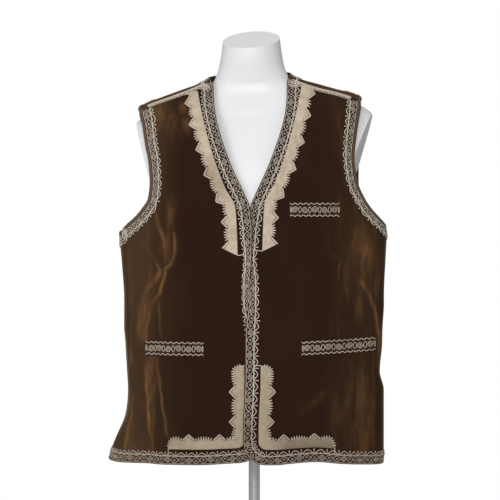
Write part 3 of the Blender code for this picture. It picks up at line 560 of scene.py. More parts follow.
def radius(turn, side, depth, squareness):
    """How far a squared oval is from its centre at a turn."""
    across = np.abs(np.sin(turn) / side) ** squareness
    along = np.abs(np.cos(turn) / depth) ** squareness
    return (across + along) ** (-1 / squareness)


def cloth_ring(turn, height):
    """Half-width, depth and squareness of the cloth's ring on the side that the turn is on."""
    right, left, front, back, squareness = (smooth(height, CLOTH_RINGS, c) for c in range(1, 6))
    side = np.where(np.sin(turn) < 0, right, left)
    depth = np.where(np.cos(turn) > 0, front, back)
    return side, depth, squareness


def fold(turn, height):
    """How far the folds move the cloth outwards."""
    turn_top, turn_bottom, top, bottom, half_width, depth = FOLDS.T
    turn, height = turn[..., None], height[..., None]
    share = np.clip((top - height) / (top - bottom), 0, 1)
    middle = turn_top + (turn_bottom - turn_top) * share
    away = (np.degrees(turn) - middle + 180) % 360 - 180
    length = ramp(share, 0, 0.35)
    length = length * np.where(bottom > HEM, ramp(height, bottom - FOLD_FADE, bottom), 1)
    return (depth * length * np.exp(-((away / half_width) ** 2))).sum(-1)


def creased(x, height, front):
    """How crushed the pile is along the creases, from 0 to about 1; the velvet gets painted sheen
    there.
    """
    x0, z0, strength, x1, z1, other_strength, half_width = CREASES.T
    for swing, waves, shift in CREASE_WANDER:
        x = x + swing * np.sin(waves * height + shift)
    x, height = x[..., None], height[..., None]
    run, rise_by = x1 - x0, z1 - z0
    along = ((x - x0) * run + (height - z0) * rise_by) / (run * run + rise_by * rise_by)
    inside = np.clip(along, 0, 1)
    away = np.hypot(x - x0 - inside * run, height - z0 - inside * rise_by)
    here = strength + (other_strength - strength) * inside
    return (here * np.exp(-((away / half_width) ** 2))).max(-1) * front


def edge_lift(turn, height, x, panel):
    """How far a front's edge stands out where it lies over the other front's."""
    low, high = CHANGE_OVER - CHANGE_OVER_HALF, CHANGE_OVER + CHANGE_OVER_HALF
    right_on_top = ramp(height, low, high) * (1 - ramp(height, V_POINT, EDGE_LIFT_END))
    left_on_top = 1 - ramp(height, low, high)
    near_edge = 1 - ramp(np.abs(x), *EDGE_LIFT_FADE)
    share = {"right": right_on_top, "left": left_on_top}.get(panel, 0.0)
    return EDGE_LIFT * near_edge * (np.cos(turn) > 0) * share


def cloth(turn, height, panel=""):
    """Points of the cloth's outer side. panel is 'right' or 'left' on a front, for its overlap."""
    turn, height = np.broadcast_arrays(np.asarray(turn, float), np.asarray(height, float))
    side, depth, squareness = cloth_ring(turn, height)
    r = radius(turn, side, depth, squareness)
    x, y = r * np.sin(turn), -r * np.cos(turn)
    out_x = np.sign(x) * np.abs(x / side) ** (squareness - 1) / side
    out_y = np.sign(y) * np.abs(y / depth) ** (squareness - 1) / depth
    length = np.hypot(out_x, out_y)
    push = fold(turn, height) + edge_lift(turn, height, x, panel)
    push = push + CREASE_HEIGHT * creased(x + GARMENT_X, height, np.cos(turn) > 0)
    x, y = x + push * out_x / length, y + push * out_y / length
    wave = smooth(np.degrees(np.arctan2(np.sin(turn), np.cos(turn))), HEM_WAVE, 1)
    z = height + SHOULDER_LEAN * x * ramp(height, *LEAN_HEIGHTS)
    z = z + wave * (1 - ramp(height, HEM, HEM_WAVE_TOP))
    return np.stack([x + GARMENT_X, y, z], axis=-1)


def outward(turn, height, panel=""):
    """Unit normals of the cloth."""
    step = 1e-4
    round_it = cloth(turn + step, height, panel) - cloth(turn - step, height, panel)
    up = cloth(turn, height + step, panel) - cloth(turn, height - step, panel)
    return unit(np.cross(round_it, up))


def over(turn, height, panel="", lift=0.0):
    """Points at a lift over the cloth, and the cloth's normals there."""
    normal = outward(turn, height, panel)
    return cloth(turn, height, panel) + np.asarray(lift)[..., None] * normal, normal


def turn_at_x(x, height, behind=False):
    """The turn at which the ring at a height is at x, on the front or behind."""
    x, height = np.broadcast_arrays(np.asarray(x, float), np.asarray(height, float))
    far = np.where(x < 0, -1.0, 1.0) * (math.pi - 0.1 if behind else 0.1)
    side, depth, squareness = cloth_ring(far, height)
    y = depth * (1 - np.clip(np.abs(x / side), 0, 1) ** squareness) ** (1 / squareness)
    return np.arctan2(x, -y if behind else y)


def height_over(x, y):
    """The height of the shoulder's surface over a point of the plan, and its turn."""
    turn = math.atan2(x, -y)
    low, high = SHOULDER_RANGE
    for _ in range(40):
        middle = (low + high) / 2
        side, depth, squareness = cloth_ring(turn, middle)
        inside = math.hypot(x, y) < radius(turn, side, depth, squareness)
        low, high = (middle, high) if inside else (low, middle)
    return turn, (low + high) / 2


def evenly(curve, count, panel=""):
    """A curve of (turn, height) resampled to count points at even distances."""
    curve = np.array(curve, float)
    along = travelled(cloth(curve[:, 0], curve[:, 1], panel))
    at = np.linspace(0, along[-1], count)
    return np.stack([np.interp(at, along, curve[:, k]) for k in range(2)], axis=1)


def patch(inner, outer, bottom, top):
    """A Coons patch of (turn, height) between four curves that share their ends."""
    u = np.linspace(0, 1, len(bottom))[None, :, None]
    v = np.linspace(0, 1, len(inner))[:, None, None]
    across = (1 - u) * inner[:, None] + u * outer[:, None]
    upward = (1 - v) * bottom[None] + v * top[None]
    corners = (1 - u) * (1 - v) * inner[0] + u * (1 - v) * outer[0]
    corners = corners + (1 - u) * v * inner[-1] + u * v * outer[-1]
    return across + upward - corners


def edge_x(height, panel):
    """x of a front's inner edge."""
    return smooth(height, FRONT_EDGES, 2 if panel == "left" else 1)


def round_corner(panel, end):
    """x and height round a front's lower corner, from its middle to an angle up from the hem."""
    angles = np.linspace(math.radians(45), math.radians(end), 16)
    heights = HEM + CORNER_RADIUS * (1 - np.cos(angles))
    return edge_x(heights, panel) + SIGN[panel] * CORNER_RADIUS * (1 - np.sin(angles)), heights


def inner_edge(panel):
    """A front's inner edge, from the middle of its round corner to the neck."""
    x, heights = round_corner(panel, 90)
    straight = np.linspace(HEM + CORNER_RADIUS, V_POINT, 120)[1:]
    sloping = np.linspace(V_POINT, FRONT_EDGES[-1, 0], 120)[1:]
    upward = np.concatenate([straight, sloping])
    x, heights = np.append(x, edge_x(upward, panel)), np.append(heights, upward)
    neck = height_over(SIGN[panel] * NECK_X, NECK_Y)
    return np.concatenate([np.stack([turn_at_x(x, heights), heights], 1), [neck]])


def on_hem(start, end, count):
    """Places on the hem's line from one turn to another."""
    return np.stack([np.linspace(start, end, count), np.full(count, HEM)], 1)


def bottom_edge(panel, start):
    """A front's hem, from the middle of its round corner to the side seam."""
    x, heights = (values[1:] for values in round_corner(panel, 0))
    rounded = np.stack([turn_at_x(x, heights), heights], 1)
    return np.concatenate([
        [start], rounded, on_hem(rounded[-1, 0], SIGN[panel] * math.pi / 2, 80)[1:],
    ])


def armhole(panel, behind):
    """The armhole's edge from under the arm to the shoulder seam, on a front or on the back."""
    sign = SIGN[panel]
    column = (3 if panel == "left" else 1) + behind
    heights = np.linspace(UNDERARM[panel] + ARMHOLE_START, ARMHOLE[-1, 0], 60)
    x = sign * smooth(heights, ARMHOLE, column)
    curve = [(sign * math.pi / 2, UNDERARM[panel])]
    curve += list(zip(turn_at_x(x, heights, behind), heights))
    if behind:
        curve += [height_over(sign * x, y) for x, y in OVER_SHOULDER]
    return np.array(curve + [height_over(sign * TIP_X, TIP_Y)], float)


def shoulder_seam(panel):
    """The shoulder seam from the neck to the tip of the shoulder."""
    sign = SIGN[panel]
    shares = np.linspace(0, 1, 30)
    points = [(NECK_X + (TIP_X - NECK_X) * t, NECK_Y + (TIP_Y - NECK_Y) * t) for t in shares]
    return np.array([height_over(sign * x, y) for x, y in points], float)


def side_seam(panel):
    """The side seam from the hem to under the arm."""
    turn = SIGN[panel] * math.pi / 2
    return np.array([(turn, HEM), (turn, UNDERARM[panel])])


def divided(curve, splits, panel=""):
    """A curve resampled for the panels' rows, in three parts that meet at two heights."""
    ends = [int(np.abs(curve[:, 1] - height).argmin()) for height in splits]
    ends = [0, *ends, len(curve) - 1]
    parts = [
        evenly(curve[low:high + 1], count + 1, panel)
        for low, high, count in zip(ends, ends[1:], ROWS)
    ]
    return np.concatenate([parts[0], parts[1][1:], parts[2][1:]])


def outer_edge(panel, behind):
    """A panel's side seam and armhole, resampled for its rows."""
    curve = np.concatenate([side_seam(panel), armhole(panel, behind)[1:]])
    return divided(curve, (UNDERARM[panel], ARMHOLE_BEND), "" if behind else panel)


def front_grid(panel):
    """The (turn, height) grid of a front: rows upwards, columns from the front edge outwards."""
    inner = divided(inner_edge(panel), (EDGE_SPLIT, V_POINT), panel)
    bottom = evenly(bottom_edge(panel, inner[0]), FRONT_COLUMNS + 1, panel)
    top = evenly(shoulder_seam(panel), FRONT_COLUMNS + 1, panel)
    return patch(inner, outer_edge(panel, behind=False), bottom, top)


def back_neck():
    """The back's neckline, from the wearer's left to the right, with turns from 0 to 2 pi."""
    left, right = shoulder_seam("left")[0], shoulder_seam("right")[0]
    share = np.linspace(0, 1, 80)
    turns = left[0] + (right[0] + 2 * math.pi - left[0]) * share
    return np.stack([turns, left[1] + smooth(share, BACK_NECK, 1)], axis=1)


def back_line(panel):
    """A line down the back, from the hem to the corner of the neck, resampled for the rows."""
    heights = np.linspace(HEM, BACK_LINE_TOP, 200)
    turns = turn_at_x(SIGN[panel] * BACK_LINE_X, heights, behind=True)
    curve = np.concatenate([np.stack([turns, heights], 1), shoulder_seam(panel)[:1]])
    return divided(curve, (EDGE_SPLIT, ARMHOLE_BEND))


def hem_between(start, end, count):
    """The hem from one turn to another, at even steps."""
    return evenly(on_hem(start, end, 60), count + 1)


def back_side(panel):
    """The (turn, height) grid of the back beside its line, columns from the side inwards."""
    outer, inner = outer_edge(panel, behind=True), back_line(panel)
    bottom = hem_between(outer[0, 0], inner[0, 0], BACK_SIDE_COLUMNS)
    top = evenly(shoulder_seam(panel)[::-1], BACK_SIDE_COLUMNS + 1)
    return patch(outer, inner, bottom, top)


def back_grid():
    """The (turn, height) grid of the back, from the wearer's left side seam round to the right."""
    left, right = back_side("left"), back_side("right")[:, ::-1]
    right[..., 0] += 2 * math.pi
    bottom = hem_between(left[0, -1, 0], right[0, 0, 0], BACK_NECK_COLUMNS)
    top = evenly(back_neck(), BACK_NECK_COLUMNS + 1)
    middle = patch(left[:, -1], right[:, 0], bottom, top)
    return np.concatenate([left, middle[:, 1:-1], right], axis=1)


def shortened(grid, end):
    """A grid whose first or last column stops half a seam gap short."""
    grid = grid.copy()
    edge, behind = grid[:, end], grid[:, 1 if end == 0 else -2]
    gap = cloth(edge[:, 0], edge[:, 1]) - cloth(behind[:, 0], behind[:, 1])
    share = SEAM_GAP / 2 / np.linalg.norm(gap, axis=-1)
    grid[:, end] = edge + (behind - edge) * share[:, None]
    return grid


def lowered(grid):
    """A grid whose top row stops half a seam gap short."""
    return shortened(grid.transpose(1, 0, 2), -1).transpose(1, 0, 2)


def beside(curve, distance, panel=""):
    """A curve of (turn, height) moved sideways over the cloth, to the left of its course."""
    step = 1e-4
    turn, height = curve[:, 0], curve[:, 1]
    along = np.gradient(cloth(turn, height, panel), axis=0)
    round_it = (cloth(turn + step, height, panel) - cloth(turn - step, height, panel)) / (2 * step)
    up = (cloth(turn, height + step, panel) - cloth(turn, height - step, panel)) / (2 * step)
    aside = unit(np.cross(np.cross(round_it, up), along)) * distance
    across, square = (aside * round_it).sum(-1), (round_it * round_it).sum(-1)
    upward, mixed = (aside * up).sum(-1), (round_it * up).sum(-1)
    up_square = (up * up).sum(-1)
    moved = np.stack([across * up_square - upward * mixed, upward * square - across * mixed], -1)
    return curve + moved / (square * up_square - mixed * mixed)[:, None]


class Surface:
    """A panel's cloth, on which two numbers name a place: places() gives its turn and height."""

    def __init__(self, panel):
        self.panel = panel

    def points(self, one, other, lift=0.0):
        """Points over the cloth at places, and the cloth's normals there."""
        one, other = np.broadcast_arrays(np.asarray(one, float), np.asarray(other, float))
        return over(*self.places(one, other), self.panel, lift)


class Flat(Surface):
    """A part of a front seen from the front: a place on it is an x and a height."""

    def places(self, x, height):
        return turn_at_x(x, height), height


class Slanted(Flat):
    """A welt's own surface: a distance along the welt and one above its middle."""

    def __init__(self, panel, start, height, slope):
        super().__init__(panel)
        self.start, self.height, self.slope = start, height, slope

    def places(self, along, above):
        x = self.start + SIGN[self.panel] * along
        return super().places(x, self.height + self.slope * along + above)


class Strip(Surface):
    """The cloth along a curve: a place on it is a distance along the curve and one beside it."""

    STEP = 0.002

    def __init__(self, curve, panel, inwards, width):
        super().__init__(panel)
        self.length = float(travelled(cloth(curve[:, 0], curve[:, 1], panel))[-1])
        lines = [evenly(curve, max(8, int(self.length / self.STEP)), panel)]
        for _ in range(int(math.ceil(width / self.STEP)) + 1):
            lines.append(beside(lines[-1], inwards * self.STEP, panel))
        self.grid = np.stack(lines, axis=1)

    def places(self, along, aside):
        rows, columns = self.grid.shape[:2]
        row = np.clip(along / self.length * (rows - 1), 0, rows - 1 - 1e-9)
        column = aside / self.STEP
        r = row.astype(int)
        c = np.clip(np.floor(column).astype(int), 0, columns - 2)
        u, v = (row - r)[..., None], (column - c)[..., None]
        low = self.grid[r, c] * (1 - v) + self.grid[r, c + 1] * v
        high = self.grid[r + 1, c] * (1 - v) + self.grid[r + 1, c + 1] * v
        place = low * (1 - u) + high * u
        return place[..., 0], place[..., 1]


def front_scale(height, panel):
    """How wide a front's border is at a height, as a share of its full width."""
    share = ramp(height, *NARROWED_FROM) * (1 - ramp(height, *NARROWED_TO))
    return 1 - NARROWED[panel] * share


class Narrowing(Strip):
    """A strip along a front's edge, whose border is narrower where the fronts change over."""

    def places(self, along, aside):
        rows = np.linspace(0, self.length, len(self.grid))
        height = np.interp(along, rows, self.grid[:, 0, 1])
        return super().places(along, aside * front_scale(height, self.panel))


class Inset(Strip):
    """A strip round an armhole, whose border is narrower and starts past the binding."""

    def places(self, along, aside):
        scale = np.interp(along / self.length, *ARMHOLE_SCALES)
        return super().places(along, aside * scale + BINDING_WIDTH + ARMHOLE_INSET)


def on_root(made, replaced=None, slot=None):
    """Puts a piece in the scene and on root, and hides the solid it stands for, if any."""
    bpy.context.scene.collection.objects.link(made)
    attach(made, "root")
    if replaced:
        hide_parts(replaced)
    return made


def finish_piece(name, verts, faces, materials, indices=None, **stands_for):
    """A smooth-shaded piece from points and faces, its faces turned outwards."""
    data = bpy.data.meshes.new(name)
    data.from_pydata([tuple(v) for v in verts], [], [list(f) for f in faces])
    for made in materials:
        data.materials.append(made)
    if indices is not None:
        data.polygons.foreach_set("material_index", np.asarray(indices, np.int32))
    mesh = bmesh.new()
    mesh.from_mesh(data)
    bmesh.ops.recalc_face_normals(mesh, faces=mesh.faces)
    mesh.to_mesh(data)
    mesh.free()
    data.shade_smooth()
    return on_root(bpy.data.objects.new(name, data), **stands_for)


def wall(name, outside, inside, materials, **stands_for):
    """A closed wall between two grids of points of the same shape, with a round rim."""
    rows, columns = outside.shape[:2]
    count = rows * columns
    number = np.arange(count).reshape(rows, columns)
    rim = np.concatenate([number[0], number[1:, -1], number[-1, -2::-1], number[-2:0:-1, 0]])
    row, column = np.divmod(rim, columns)
    near = np.clip(row, 1, rows - 2) * columns + np.clip(column, 1, columns - 2)
    outside, inside = outside.reshape(-1, 3), inside.reshape(-1, 3)
    high, low = outside[rim], inside[rim]
    thick = np.linalg.norm(high - low, axis=1, keepdims=True)
    middle = (high + low) / 2 + unit(high - outside[near]) * thick * RIM_BULGE
    after, mid = np.roll(rim, -1), 2 * count + np.arange(len(rim))
    mid_after = np.roll(mid, -1)
    upper = np.stack([rim, mid, mid_after, after], 1)
    lower = np.stack([mid, rim + count, after + count, mid_after], 1)
    sheet = cells(number)
    faces = np.concatenate([sheet, sheet[:, ::-1] + count, upper, lower])
    indices = np.zeros(len(faces), int)
    indices[len(sheet):2 * len(sheet)] = len(materials) - 1
    verts = np.concatenate([outside, inside, middle])
    return finish_piece(name, verts, faces, materials, indices, **stands_for)


def paint(piece, name, values, kind="FLOAT", field="value"):
    """Keeps values for the points of a piece, for its material."""
    kept = piece.data.attributes.new(name, kind, "POINT")
    kept.data.foreach_set(field, np.asarray(values, np.float32).ravel())


def panel_piece(name, grid, panel, materials, replaced):
    """A panel of the waistcoat over a grid of (turn, height)."""
    turn, height = grid[..., 0], grid[..., 1]
    inside, _ = over(turn, height, panel, -CLOTH)
    outside = cloth(turn, height, panel)
    piece = wall(name, outside, inside, materials, replaced=replaced, slot="velvet")
    points = np.zeros(len(piece.data.vertices) * 3)
    piece.data.vertices.foreach_get("co", points)
    x, y, z = points.reshape(-1, 3).T
    crush_and_sheen = creased(x, z, y < 0)
    # The back gets painted sheen over the shoulders, as velvet seen at a grazing angle.
    if not panel:
        crush_and_sheen = np.maximum(crush_and_sheen, SHOULDER_SHEEN * ramp(z, *SHOULDER_HEIGHTS))
    paint(piece, "crush_and_sheen", crush_and_sheen)
    return piece


def course(along, aside, thickness, lift=0.0):
    """A cord's course over a surface, at even steps: where it is, how high, and its radius."""
    parts = np.broadcast_arrays(along, aside, lift, thickness)
    gone = travelled(np.stack(parts[:2], 1))
    at = np.linspace(0, gone[-1], max(3, int(gone[-1] / CORD_STEP) + 2))
    along, aside, lifts, radii = (np.interp(at, gone, part) for part in parts)
    return np.stack([along, aside, lifts + SUNK * radii, radii], axis=1)


def tubes(name, surface, courses, made, lift=0.0):
    """One piece of many round cords that lie on a surface."""
    every = np.concatenate(courses)
    points, normals = surface.points(every[:, 0], every[:, 1], every[:, 2] + lift)
    ends = np.cumsum([len(one) for one in courses])[:-1]
    angles = np.linspace(0, 2 * math.pi, CORD_SIDES, endpoint=False)
    circle = np.stack([np.cos(angles), np.sin(angles)], 1)
    verts, faces, marks, base = [], [], [], 0
    split = (np.split(part, ends) for part in (points, normals, every[:, 3]))
    for line, normal, radii in zip(*split):
        along = unit(np.gradient(line, axis=0))
        aside = unit(np.cross(along, normal))
        up = np.cross(aside, along)
        ring = circle[:, :1] * aside[:, None] + circle[:, 1:] * up[:, None]
        verts.append((line[:, None] + radii[:, None, None] * ring).reshape(-1, 3))
        mark = np.zeros((len(line), CORD_SIDES, 3))
        mark[..., 0], mark[..., 1:] = travelled(line)[:, None], circle
        marks.append(mark.reshape(-1, 3))
        number = base + np.arange(len(line) * CORD_SIDES).reshape(len(line), CORD_SIDES)
        faces += cells(np.pad(number, ((0, 0), (0, 1)), mode="wrap")).tolist()
        faces += [number[0][::-1].tolist(), number[-1].tolist()]
        base += number.size
    piece = finish_piece(name, np.concatenate(verts), faces, [made])
    paint(piece, "cord", np.concatenate(marks), "FLOAT_VECTOR", "vector")
    return piece


def repeats(start, end, period):
    """The step and the middles of what repeats between two places, at about a period."""
    count = max(1, round((end - start) / period))
    step = (end - start) / count
    return step, [start + (here + 0.5) * step for here in range(count)]


def arches(start, end, base, period, rise_by, picot):
    """A row of arches away from a line, with a bead in each and a picot between them."""
    step, middles = repeats(start, end, period)
    t = np.linspace(-1, 1, 25)
    shape = 1 - np.abs(t) ** ARCH_POWER
    found = []
    for here, middle in enumerate(middles):
        found.append(course(middle + t * ARCH_HALF * step, base + rise_by * shape, CORD))
        found.append(course([middle] * 2, [base, base + BEAD_REACH * rise_by], [BEAD, THICK]))
        if here:
            ends = [base, base + PICOT_MIDDLE * picot, base + picot]
            found.append(course([middle - step / 2] * 3, ends, [THIN, CORD, PICOT_TIP * CORD]))
    return found


def spiral(along, aside, size, way, turns=COIL_TURNS):
    """A coil of cord from its middle outwards."""
    angle = np.linspace(0, turns * 2 * math.pi, int(turns * COIL_POINTS))
    reach = COIL_START + (size - COIL_START) * angle / angle[-1]
    spun = way * (angle - angle[-1])
    return course(along + reach * np.cos(spun), aside + reach * np.sin(spun), THIN)


def interlace(start, end, aside, size, eyes, curled):
    """Two cords that cross again and again between two places, with a curl in each eye or not."""
    s = np.linspace(start, end, 90)
    swing = size * np.sin(math.pi * eyes * (s - start) / (end - start))
    found = [course(s, aside + way * swing, THIN, CROSSED_LIFT * (way > 0)) for way in (1, -1)]
    eye = (end - start) / eyes
    for here in range(eyes if curled else 0):
        middle = start + (here + 0.5) * eye
        way = 1 if here % 2 else -1
        found.append(spiral(middle, aside, CURL_SHARE * size, way, CURL_TURNS))
    return found


def scrolls(start, end, aside, size, period, eyes=2, curled=True):
    """Coils along a line, with interlaced cords between them."""
    step, middles = repeats(start, end, period)
    wide = CROSSED_SHARE * size
    found = []
    for here, middle in enumerate(middles):
        found.append(spiral(middle, aside, size, 1 if here % 2 else -1))
        reach = size + COIL_GAP
        if here:
            between = middle - step + reach, middle - reach
            found += interlace(*between, aside, wide, eyes, curled)
    for low, high in ((start, start + step / 2 - size), (end - step / 2 + size, end)):
        found += interlace(low + CROSSED_END, high - COIL_GAP, aside, wide, 1, curled)
    return found


def border(name, strip, cream, kind=None):
    """A whole border on a strip: its two cords, the scrolls between them, and the arches."""
    before, after, period, rise_by = BORDERS[kind or name]
    start, end = before, strip.length - after
    along = np.linspace(start, end, 400)
    courses = [course(along, EDGE_CORD, THIN), course(along, MAIN_CORD, THICK)]
    inset = start + SCROLL_INSET, end - SCROLL_INSET
    courses += scrolls(*inset, SCROLL_MIDDLE, SCROLL_HALF, SCROLL_PERIOD)
    courses += arches(start, end, MAIN_CORD + ARCH_GAP, period, rise_by, rise_by + PICOT_RISE)
    return tubes(f"border_{name}", strip, courses, cream)


def front_border(panel, cream):
    """The border along a front's edge, round its corner, and along the hem."""
    edge = inner_edge(panel)
    curve = np.concatenate([edge[::-1], bottom_edge(panel, edge[0])[1:]])
    strip = Narrowing(curve, panel, SIGN[panel], BORDER_WIDTH)
    return border(f"front_{panel}", strip, cream)


def back_borders(cream):
    """The borders of the back's hem and neck, which carry the fronts' pattern round."""
    hem = Strip(on_hem(math.pi / 2, 1.5 * math.pi, 90), "", 1, BORDER_WIDTH)
    neck = Strip(back_neck(), "", -1, BORDER_WIDTH)
    return [border("back_hem", hem, cream), border("back_neck", neck, cream)]


def armhole_border(panel, behind, cream):
    """The border round an armhole, on the front or on the back."""
    place, on, way = ("back", "", -1) if behind else ("front", panel, 1)
    width = BORDER_WIDTH + BINDING_WIDTH
    strip = Inset(armhole(panel, behind), on, way * SIGN[panel], width)
    return border(f"armhole_{panel}_{place}", strip, cream, f"armhole_{place}")


def shoulder_border(panel, cream):
    """The narrow looped braid along a shoulder seam."""
    forward = BRAID_FORWARD[panel]
    strip = Strip(shoulder_seam(panel), panel, -SIGN[panel], BRAID_WIDTH)
    start, end = BRAID_ENDS[0], strip.length - BRAID_ENDS[1]
    along = np.linspace(start, end, 100)
    courses = [course(along, forward + aside, THICK) for aside in (0.0, BRAID_CORD)]
    base, *arch = BRAID_ARCHES
    courses += arches(start, end, forward + base, *arch)
    return tubes(f"border_shoulder_{panel}", strip, courses, cream)


def binding(panel, velvet):
    """The folded tape round an armhole, over the edge of the front and of the back."""
    forward, backward = armhole(panel, behind=False), armhole(panel, behind=True)[::-1]
    lines = [evenly(np.concatenate([forward, backward[1:]]), 361)]
    while len(lines) < TAPE_LINES:
        lines.append(beside(lines[-1], SIGN[panel] * TAPE_STEP))
    lines = np.stack(lines, axis=1)[:-1]
    rings = []
    for aside, lift in TAPE:
        column = aside / TAPE_STEP
        c = min(max(int(math.floor(column)), 0), TAPE_LINES - 2)
        place = lines[:, c] * (1 - (column - c)) + lines[:, c + 1] * (column - c)
        rings.append(over(place[:, 0], place[:, 1], lift=lift)[0])
    grid = np.stack(rings, axis=1)
    number = np.arange(grid.size // 3).reshape(grid.shape[:2])
    faces = cells(np.pad(number, ((0, 1), (0, 1)), mode="wrap").T)
    return finish_piece(
        f"binding_armhole_{panel}", grid.reshape(-1, 3), faces, [velvet],
        replaced=f"armhole_binding_{panel}", slot="velvet",
    )


def on_point(along, points):
    """Whether a place along a strap is on one of its points."""
    return min(abs(point - along) for point in points) < POINT_HALF


def rise(along, points, end):
    """How far a strap's outer edge stands out: its points, with round scallops between them."""
    if on_point(along, points):
        return POINT_RISE * (1 - min(abs(point - along) for point in points) / POINT_HALF)
    starts = [0.0] + [point + POINT_HALF for point in points]
    ends = [point - POINT_HALF for point in points] + [end]
    for low, high in zip(starts, ends):
        if low <= along <= high:
            across = 2 * (along - low) / (high - low) - 1
            return SCALLOP_RISE * math.sqrt(max(0.0, 1 - across * across))
    return 0.0


def leather_rise(along, points, end):
    """How far the leather itself stands out, inside the edge's lace and teeth."""
    full = rise(along, points, end)
    if on_point(along, points):
        return max(-TOOTH, full - LACE)
    return full - TOOTH


def strap_x(height):
    """x of the line that the neck's straps follow."""
    return float(smooth(height, STRAP_LINE, 1))


def neck_strap(panel, rise_of):
    """Rows across the neck's strap from the top down: inner and outer ends, and if on a point."""
    raised = LEFT_STRAP_RAISED if panel == "left" else 0.0
    points = [STRAP_TOP[panel] - point for point in NECK_POINTS]
    places = np.linspace(0, points[-1], int(points[-1] / LEATHER_STEP))
    inner, outer = [], []
    for along in places:
        height = STRAP_TOP[panel] - along
        turned_in = (STRAP_END - NECK_POINTS[-1]) * (1 - ramp(height, NECK_POINTS[-1], V_POINT))
        inner.append((strap_x(height + turned_in), height + turned_in))
        run = strap_x(height + STRAP_RUN) - strap_x(height - STRAP_RUN)
        across = np.array([2 * STRAP_RUN, -run]) / math.hypot(2 * STRAP_RUN, run)
        reach = STRAP_WIDTH + rise_of(along, points, points[-1] + POINT_HALF)
        outer.append(np.array([strap_x(height), height]) + across * reach)
    inner, outer = np.array(inner), np.array(outer)
    for end in (inner, outer):
        end[:, 1] += raised
        end[:, 0] *= SIGN[panel]
    return inner, outer, np.array([on_point(along, points) for along in places])


def arm_rows(points, end, rise_of):
    """Rows of a corner piece's arm: where each is, how far it reaches, and if it's on a point."""
    places = np.arange(ROUND_CORNER + ARM_START, end, LEATHER_STEP)
    reach = np.array([STRAP_WIDTH + rise_of(along, points, end) for along in places])
    to_end = end - places
    rounded = np.sqrt(np.clip(1 - (1 - to_end / ROUND_END) ** 2, NARROWEST_END, 1))
    reach = np.where(to_end < ROUND_END, reach * rounded, reach)
    return places, reach, np.array([on_point(along, points) for along in places])


def hem_corner(panel, rise_of):
    """Rows across the hem's corner piece, from the top round the corner: as for neck_strap."""
    up, up_reach, up_pointed = arm_rows(*UP_ARM, rise_of)
    side, side_reach, side_pointed = arm_rows(*SIDE_ARM, rise_of)
    angle = np.radians(np.linspace(*BEND))
    share = np.linspace(1, 0, len(angle))
    bend = ROUND_CORNER * np.stack([1 - np.cos(angle), 1 - np.sin(angle)], 1)
    nook = STRAP_WIDTH + NOOK_ROUND + NOOK_ROUND * np.stack([1 - share, share], 1)
    inner = [np.stack([0 * up, up], 1)[::-1], bend, np.stack([side, 0 * side], 1)]
    outer = [np.stack([up_reach, up], 1)[::-1], nook, np.stack([side, side_reach], 1)]
    inner, outer = np.concatenate(inner), np.concatenate(outer)
    for end in (inner, outer):
        end[:, 1] += HEM + CORNER_LIFT
        end[:, 0] = edge_x(end[:, 1], panel) + SIGN[panel] * (CORNER_BORDER + end[:, 0])
    pointed = [up_pointed[::-1], np.zeros(len(angle), bool), side_pointed]
    return inner, outer, np.concatenate(pointed)


def leather_piece(name, rows_of, panel, leather, replaced):
    """A strap of leather on a front."""
    inner, outer, _ = rows_of(panel, leather_rise)
    share = np.linspace(0, 1, LEATHER_COLUMNS)
    crown = LEATHER_CROWN * np.sin(math.pi * share) ** 0.5
    share = share[None, :, None]
    grid = inner[:, None] * (1 - share) + outer[:, None] * share
    low, normal = Flat(panel).points(grid[..., 0], grid[..., 1], LEATHER_GAP)
    high = low + (LEATHER + crown)[None, :, None] * normal
    return wall(name, high, low, [leather], replaced=replaced, slot="leather")


def joining_cords(rows_of, panel, inner):
    """The short cords that join a leather piece's ends to the border beside them."""
    (x, height), (far, low) = inner[0], inner[-1]
    if rows_of is neck_strap:
        end = edge_x(low, panel) + SIGN[panel] * MAIN_CORD * front_scale(low, panel)
        return [((far, low), (end, low + STRAP_CORD_RISE))]
    end = edge_x(height, panel) + SIGN[panel] * MAIN_CORD
    return [
        ((x, height), (end, height)),
        ((far, low + ARM_CORD_START), (far, low - CORNER_LIFT + MAIN_CORD)),
    ]


def stations(line, inner, pitch):
    """Places along a line at a pitch, and the directions there that lead away from inner."""
    gone = travelled(line)
    count = max(1, round(gone[-1] / pitch))
    at = (np.arange(count) + 0.5) * gone[-1] / count
    run = np.stack([np.gradient(line[:, 0], gone), np.gradient(line[:, 1], gone)], 1)
    side = np.stack([run[:, 1], -run[:, 0]], 1)
    side = side * np.sign((side * (line - inner)).sum(1))[:, None]
    places, away = (
        np.stack([np.interp(at, gone, values[:, k]) for k in range(2)], 1)
        for values in (line, side)
    )
    return places, unit(away), gone


def tooth(place, away):
    """One tooth of thread over a scallop's edge."""
    x, height = place[:, None] + away[:, None] * TOOTH_REACH
    return course(x, height, TOOTH_RADII, TOOTH_LIFT)


def knotted(line, gone):
    """The cord round a point, with a knot beside each eyelet."""
    swell = 1 + KNOT_SWELL * np.cos(2 * math.pi * gone / KNOT_PITCH)
    return course(line[:, 0], line[:, 1], KNOT_CORD * swell, KNOT_LIFT * LEATHER)


def eyelet(place, away):
    """One dark eyelet on a point."""
    x, height = place - away * EYELET_IN
    return course([x] * 3, height + EYELET_HEIGHTS, EYELET_RADII, LEATHER + LEATHER_GAP)


